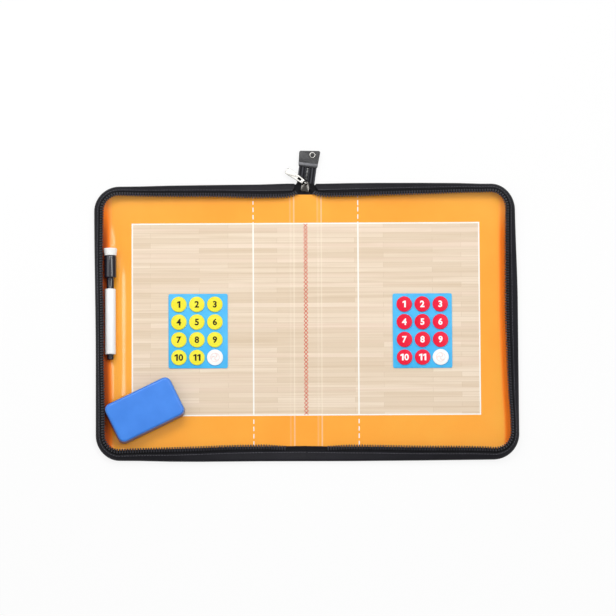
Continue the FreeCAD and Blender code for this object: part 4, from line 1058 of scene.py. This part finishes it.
# the pull's bevelled edges take the darker black-nickel finish as a painted dark reflection
dressNode("zip_pull", satinNickel, "zip_pull", bevel=0.6 * mm, segments=3,
          rimMaterial=gunmetal)
chain = np.array([vertex.co for vertex in nodes["tail_coil"].data.vertices])
chainAlong = (chain - tailRoot) @ tailWay
chainLook = {"pitch": 1.6 * mm, "base": 1.6 * mm, "tip": 0.75 * mm, "thick": 1.2 * mm, "short": 0.5 * mm,
             "corners": ((-0.78, -1.175), (0.78, -1.175), (0.62, -0.375), (0.25, 1.175), (-0.25, 1.175),
                         (-0.62, -0.375))}
chainTooth = taperShape("chainTooth", chainLook["corners"], chainLook["thick"])
for side, sign in signs.items():
    shift = chainLook["pitch"] * (0.5 if side == "left" else 1.0)
    run = np.linspace(chainAlong.min() + shift, chainAlong.max() - chainLook["short"], railPoints)
    middle = sign * (chainLook["base"] - chainLook["tip"]) / 2
    rail = np.array([onTail(middle, along, chain[:, 2].mean()) for along in run])
    inwards = np.tile(-sign * tailAcross, (railPoints, 1))
    teeth = makeRow(f"{side}_tail_teeth", rail, upright, inwards, chainLook["pitch"], chainTooth, dyedNylon)
    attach(teeth, "spine")
    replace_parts(teeth, "tail_coil")
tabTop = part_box("end_tab")[1].z
tabLook = {"width": 21 * mm, "from": 24.4 * mm, "to": 27.2 * mm, "rise": 0.25 * mm, "sink": 0.2 * mm,
           "acrossSteps": 12, "alongSteps": 6}


# a raised band across the tab, near its mouth
def tabBand():
    section = []
    for across in np.linspace(-0.5, 0.5, tabLook["acrossSteps"]) * tabLook["width"]:
        line = [onTail(across, tabLook["from"], tabTop - tabLook["sink"])]
        for share in np.linspace(0, 1, tabLook["alongSteps"]):
            along = tabLook["from"] + (tabLook["to"] - tabLook["from"]) * share
            line.append(onTail(across, along, tabTop + tabLook["rise"] * math.sin(math.pi * share)))
        line.append(onTail(across, tabLook["to"], tabTop - tabLook["sink"]))
        section.append(line)
    section = np.array(section)
    piece = sweepPiece("end_tab_band", section, tabHem, section[..., :2])
    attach(piece, "spine")


tabBand()
rivetLow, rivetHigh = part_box("tab_rivet")
rivetCentre = (rivetLow + rivetHigh) / 2


# a turned shape about an upright axis: profile is (radius, height) from the bottom of the axis to its top
def turnedPiece(name, centre, profile, segments, material):
    points = [(centre[0], centre[1], profile[0][1])]
    for radius, height in profile[1:-1]:
        for k in range(segments):
            angle = 2 * math.pi * k / segments
            x = centre[0] + radius * math.cos(angle)
            y = centre[1] + radius * math.sin(angle)
            points.append((x, y, height))
    points.append((centre[0], centre[1], profile[-1][1]))
    last = len(points) - 1
    rings = len(profile) - 2
    faces = []
    for k in range(segments):
        after = (k + 1) % segments
        faces.append((0, 1 + after, 1 + k))
        for ring in range(rings - 1):
            low = 1 + ring * segments
            faces.append((low + k, low + after, low + segments + after, low + segments + k))
        top = 1 + (rings - 1) * segments
        faces.append((top + k, top + after, last))
    piece = makePiece(name, points, faces, [material])
    piece.data.set_sharp_from_angle(angle=sharpFrom["rigid"])
    return faceOutwards(piece)


dimple = {"radius": 2.05 * mm, "drop": 0.5 * mm, "lift": 0.06 * mm, "thick": 0.1 * mm, "crown": 0.08 * mm,
          "segments": 28}
dimpleTop = rivetHigh.z - dimple["drop"] + dimple["lift"]
dimpleFoot = dimpleTop - dimple["thick"]
enamelProfile = [(0, dimpleFoot), (dimple["radius"], dimpleFoot), (dimple["radius"], dimpleTop),
                 (0, dimpleTop + dimple["crown"])]
enamel = turnedPiece("rivet_enamel", rivetCentre, enamelProfile, dimple["segments"], lacquer)
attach(enamel, "spine")

# cards and discs
discLook = {"bevel": 0.35 * mm, "clear": 0.02 * mm, "segments": 48, "number": 7.6 * mm, "ink": 0.03 * mm,
            "weight": 0.035, "space": 0.75 * mm, "footPoints": 4, "rimPoints": 5, "players": 11}
for side in signs:
    dressNode(f"{side}_card", cardVinyl, f"{side}_card", bevel=0.22 * mm)


def makeDisc(name, material):
    low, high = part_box(name)
    low.z += discLook["clear"]
    radius = (high.x - low.x) / 2
    bevel = discLook["bevel"]
    profile = [(0, low.z)]
    for turn in np.linspace(0, math.pi / 2, discLook["footPoints"]):
        profile.append((radius - bevel + bevel * math.sin(turn), low.z + bevel - bevel * math.cos(turn)))
    for turn in np.linspace(0, math.pi / 2, discLook["rimPoints"]):
        profile.append((radius - bevel + bevel * math.cos(turn), high.z - bevel + bevel * math.sin(turn)))
    profile.append((0, high.z))
    centre = (low + high) / 2
    piece = turnedPiece(name + "_shell", centre, profile, discLook["segments"], material)
    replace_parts(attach(piece, name), name)
    return centre, high.z


flaggedOne = ((0.14, 0), (0.325, 0), (0.325, 0.7), (0.18, 0.7), (-0.02, 0.6), (-0.02, 0.44), (0.14, 0.52))


# one digit as a flat mesh: the outline of a flagged one, or a letter of the plain font
def digitMesh(digit):
    if digit == "1":
        mesh = bpy.data.meshes.new("digit")
        count = len(flaggedOne)
        points = [(x, y, z) for z in (-0.5, 0.5) for x, y in flaggedOne]
        faces = [tuple(range(count)), tuple(range(count, 2 * count))]
        faces += [(i, (i + 1) % count, (i + 1) % count + count, i + count) for i in range(count)]
        mesh.from_pydata(points, [], faces)
        return mesh
    letters = bpy.data.curves.new("digit", "FONT")
    letters.body = digit
    letters.offset = discLook["weight"]
    letters.extrude = 0.5
    letters.resolution_u = 4
    holder = bpy.data.objects.new("digit", letters)
    scene.collection.objects.link(holder)
    graph = bpy.context.evaluated_depsgraph_get()
    mesh = bpy.data.meshes.new_from_object(holder.evaluated_get(graph), depsgraph=graph)
    bpy.data.objects.remove(holder)
    return mesh


# a printed number, as thin raised ink
def printNumber(name, text, centre, top, material):
    ink = bmesh.new()
    edge = 0.0
    for digit in text:
        mesh = digitMesh(digit)
        places = np.array([vertex.co for vertex in mesh.vertices])
        low, high = places.min(0), places.max(0)
        scale = discLook["number"] / (high[1] - low[1])
        mesh.transform(Matrix.Diagonal((scale, scale, discLook["ink"], 1))
                       @ Matrix.Translation((-low[0], -(low[1] + high[1]) / 2, 0)))
        mesh.transform(Matrix.Translation((edge, 0, 0)))
        edge += (high[0] - low[0]) * scale + discLook["space"]
        ink.from_mesh(mesh)
    bmesh.ops.remove_doubles(ink, verts=ink.verts, dist=weldWithin["ink"])
    bmesh.ops.recalc_face_normals(ink, faces=ink.faces)
    shift = (centre.x - (edge - discLook["space"]) / 2, centre.y, top + discLook["ink"] / 2)
    bmesh.ops.translate(ink, verts=ink.verts, vec=shift)
    mesh = bpy.data.meshes.new(name + "_number")
    ink.to_mesh(mesh)
    ink.free()
    mesh.materials.append(material)
    piece = bpy.data.objects.new(name + "_number", mesh)
    scene.collection.objects.link(piece)
    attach(piece, name)


ballLook = {"ring": 4.9 * mm, "half": 0.22 * mm, "pair": 0.45, "bend": 1.1, "inner": 0.5,
            "ringPoints": 41, "seamPoints": 14}


# three pairs of curved seams in a ring, as thin ink on the ball disc
def printBall(name, centre, top):
    points = []
    faces = []
    ringRadius = ballLook["ring"]

    def stroke(line):
        start = len(points)
        for k, spot in enumerate(line):
            way = line[min(k + 1, len(line) - 1)] - line[max(k - 1, 0)]
            side = np.array([-way[1], way[0]]) / np.hypot(*way) * ballLook["half"]
            for edge in (spot + side, spot - side):
                for z in (top, top + discLook["ink"]):
                    points.append((centre.x + edge[0], centre.y + edge[1], z))
        for k in range(len(line) - 1):
            a = start + 4 * k
            for p, q in ((1, 3), (3, 2), (2, 0), (0, 1)):
                faces.append((a + p, a + q, a + q + 4, a + p + 4))
        end = start + 4 * (len(line) - 1)
        faces.append((start, start + 1, start + 3, start + 2))
        faces.append((end, end + 1, end + 3, end + 2))

    angles = np.linspace(0, 2 * math.pi, ballLook["ringPoints"])
    stroke(np.stack([np.cos(angles), np.sin(angles)], 1) * ringRadius)
    for third in range(3):
        base = 2 * math.pi * third / 3
        share = np.linspace(0, 1, ballLook["seamPoints"])
        for shift in (0.0, ballLook["pair"]):
            bend = base + shift + ballLook["bend"] * share
            start = shift * ballLook["inner"]
            reach = ringRadius * (start + (1 - start) * share)
            stroke(np.stack([np.cos(bend) * reach, np.sin(bend) * reach], 1))
    piece = faceOutwards(makePiece(name + "_seams", points, faces, [seamInk], smooth=False))
    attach(piece, name)


teams = {"left": ("yellow", yellowPlastic, brownInk), "right": ("red", redPlastic, paleInk)}
for side, (colour, plastic, ink) in teams.items():
    for number in range(1, discLook["players"] + 1):
        name = f"{colour}_disc_{number}"
        centre, top = makeDisc(name, plastic)
        printNumber(name, str(number), centre, top, ink)
    centre, top = makeDisc(f"{side}_ball_disc", whitePlastic)
    printBall(f"{side}_ball_disc", centre, top)
print("cards and discs laid out")


nap = {"grain": 2.5, "level": 0.75}  # in voxels, and the height that stays put


# felt made from a node: remeshed evenly, then ruffled
def feltPiece(name, material, body, voxel, fuzz):
    piece = dressNode(name, material, body)
    even = piece.modifiers.new("even", "REMESH")
    even.mode = "VOXEL"
    even.voxel_size = voxel
    ruffle = piece.modifiers.new("nap", "DISPLACE")
    ruffle.texture = bpy.data.textures.new(name + "_nap", "CLOUDS")
    ruffle.texture.noise_scale = nap["grain"] * voxel
    ruffle.strength = fuzz
    ruffle.mid_level = nap["level"]
    applyModifiers(piece)
    piece.data.materials.clear()
    piece.data.materials.append(material)
    piece.data.polygons.foreach_set("use_smooth", [True] * len(piece.data.polygons))
    return piece


dressNode("eraser_shell", eraserPlastic, "eraser")
felt = feltPiece("eraser_felt", greyFelt, "eraser", voxel=1.0 * mm, fuzz=0.5 * mm)
penBevel = 0.2 * mm
penFinish = {"pen_barrel": (penWhite, "pen_white"), "pen_collar": (penBlack, "pen_black"),
             "pen_tail_plug": (penBlack, "pen_black")}
for name, (material, slot) in penFinish.items():
    dressNode(name, material, "pen", bevel=penBevel)
dressNode("pen_cap", penBlack, "pen_cap", bevel=0.25 * mm)
feltPiece("cap_brush", whiteFelt, "pen_cap", voxel=0.55 * mm, fuzz=0.35 * mm)
plain = {"pen_nib": inkFelt, "pen_reservoir": inkFelt, "spine_board": greyBoard}
for side in signs:
    plain[f"{side}_board"] = greyBoard
    plain[f"{side}_steel_sheet"] = tinplate
for name, material in plain.items():
    nodes[name].data.materials.clear()
    nodes[name].data.materials.append(material)
print("eraser and pen dressed")

# studio: a white floor that keeps the shadow, soft light from above and both sides
studio = {"floor": 6.0, "drop": 0.6 * mm, "tone": "#F4F4F4", "roughness": 0.9, "paper": 0.86,
          "walls": 0.08, "ceiling": 0.72}


def studioFloor():
    material = bpy.data.materials.new("paper_sweep_white")
    material.use_nodes = True
    tree = material.node_tree
    shader = tree.nodes["Principled BSDF"]
    shader.inputs["Base Color"].default_value = paint(studio["tone"])
    shader.inputs["Roughness"].default_value = studio["roughness"]
    rays = addNode(tree, "ShaderNodeLightPath").outputs
    seen = addNode(tree, "ShaderNodeMath", {0: rays["Is Camera Ray"], 1: rays["Is Glossy Ray"]},
                   operation="MAXIMUM")
    seen = addNode(tree, "ShaderNodeMath", {0: seen.outputs[0], 1: rays["Is Transmission Ray"]},
                   operation="MAXIMUM")
    share = addNode(tree, "ShaderNodeMath", {0: seen.outputs[0], 1: studio["paper"]}, operation="MULTIPLY")
    glow = addNode(tree, "ShaderNodeEmission", {"Color": (1, 1, 1, 1), "Strength": 1.0})
    mix = addNode(tree, "ShaderNodeMixShader", {
        0: share.outputs[0], 1: shader.outputs["BSDF"], 2: glow.outputs[0]})
    tree.links.new(mix.outputs[0], tree.nodes["Material Output"].inputs["Surface"])
    half = studio["floor"] / 2
    z = -studio["drop"]
    corners = [(-half, -half, z), (half, -half, z), (half, half, z), (-half, half, z)]
    floor = makePiece("studio_floor", corners, [(0, 1, 2, 3)], [material], smooth=False)


def studioWorld():
    world = bpy.data.worlds.new("studio")
    scene.world = world
    world.use_nodes = True
    tree = world.node_tree
    rays = addNode(tree, "ShaderNodeLightPath").outputs
    way = addNode(tree, "ShaderNodeTexCoord").outputs["Generated"]
    height = addNode(tree, "ShaderNodeSeparateXYZ", {"Vector": way})
    ceiling = addNode(tree, "ShaderNodeMapRange", {"Value": height.outputs["Z"], "To Min": studio["walls"],
                                                   "To Max": studio["ceiling"]})
    strength = addNode(tree, "ShaderNodeMix", {
        0: rays["Is Camera Ray"], 2: ceiling.outputs["Result"], 3: 1.0})
    back = tree.nodes["Background"]
    back.inputs["Color"].default_value = (1, 1, 1, 1)
    tree.links.new(strength.outputs[0], back.inputs["Strength"])


lamps = {
    "overhead": {"place": (-0.2, 0.6, 0.88), "size": (0.75, 0.4), "watts": 4.2},
    "leftSoftbox": {"place": (-1.4, 0.3, 1.3), "size": (0.9, 1.1), "watts": 3.4},
    "glossPanel": {"place": (0.95, 0.31, 2.0), "size": (1.3, 0.5), "watts": 14},
}


def studioLamps():
    for name, lamp in lamps.items():
        light = bpy.data.lights.new(name, "AREA")
        light.shape = "RECTANGLE"
        light.size, light.size_y = lamp["size"]
        light.energy = lamp["watts"]
        holder = bpy.data.objects.new(name, light)
        holder.location = lamp["place"]
        holder.rotation_mode = "QUATERNION"
        holder.rotation_quaternion = (-Vector(lamp["place"])).to_track_quat("-Z", "Y")
        scene.collection.objects.link(holder)


view = {"target": (2.4 * mm, 16.5 * mm, 4 * mm), "distance": 6.0, "elevation": 82, "roll": -0.3,
        "lens": 309.8, "sensor": 36, "clip": 50}


def studioCamera():
    data = bpy.data.cameras.new("camera")
    data.lens = view["lens"]
    data.sensor_width = view["sensor"]
    data.clip_end = view["clip"]
    camera = bpy.data.objects.new("camera", data)
    scene.collection.objects.link(camera)
    lift = math.radians(view["elevation"])
    back = Vector((0, -math.cos(lift), math.sin(lift)))
    camera.location = Vector(view["target"]) + back * view["distance"]
    camera.rotation_mode = "QUATERNION"
    roll = Matrix.Rotation(math.radians(view["roll"]), 3, "Z").to_quaternion()
    camera.rotation_quaternion = (-back).to_track_quat("-Z", "Y") @ roll
    scene.camera = camera


studioFloor()
studioWorld()
studioLamps()
studioCamera()
scene.view_settings.view_transform = "Standard"
print("studio ready")
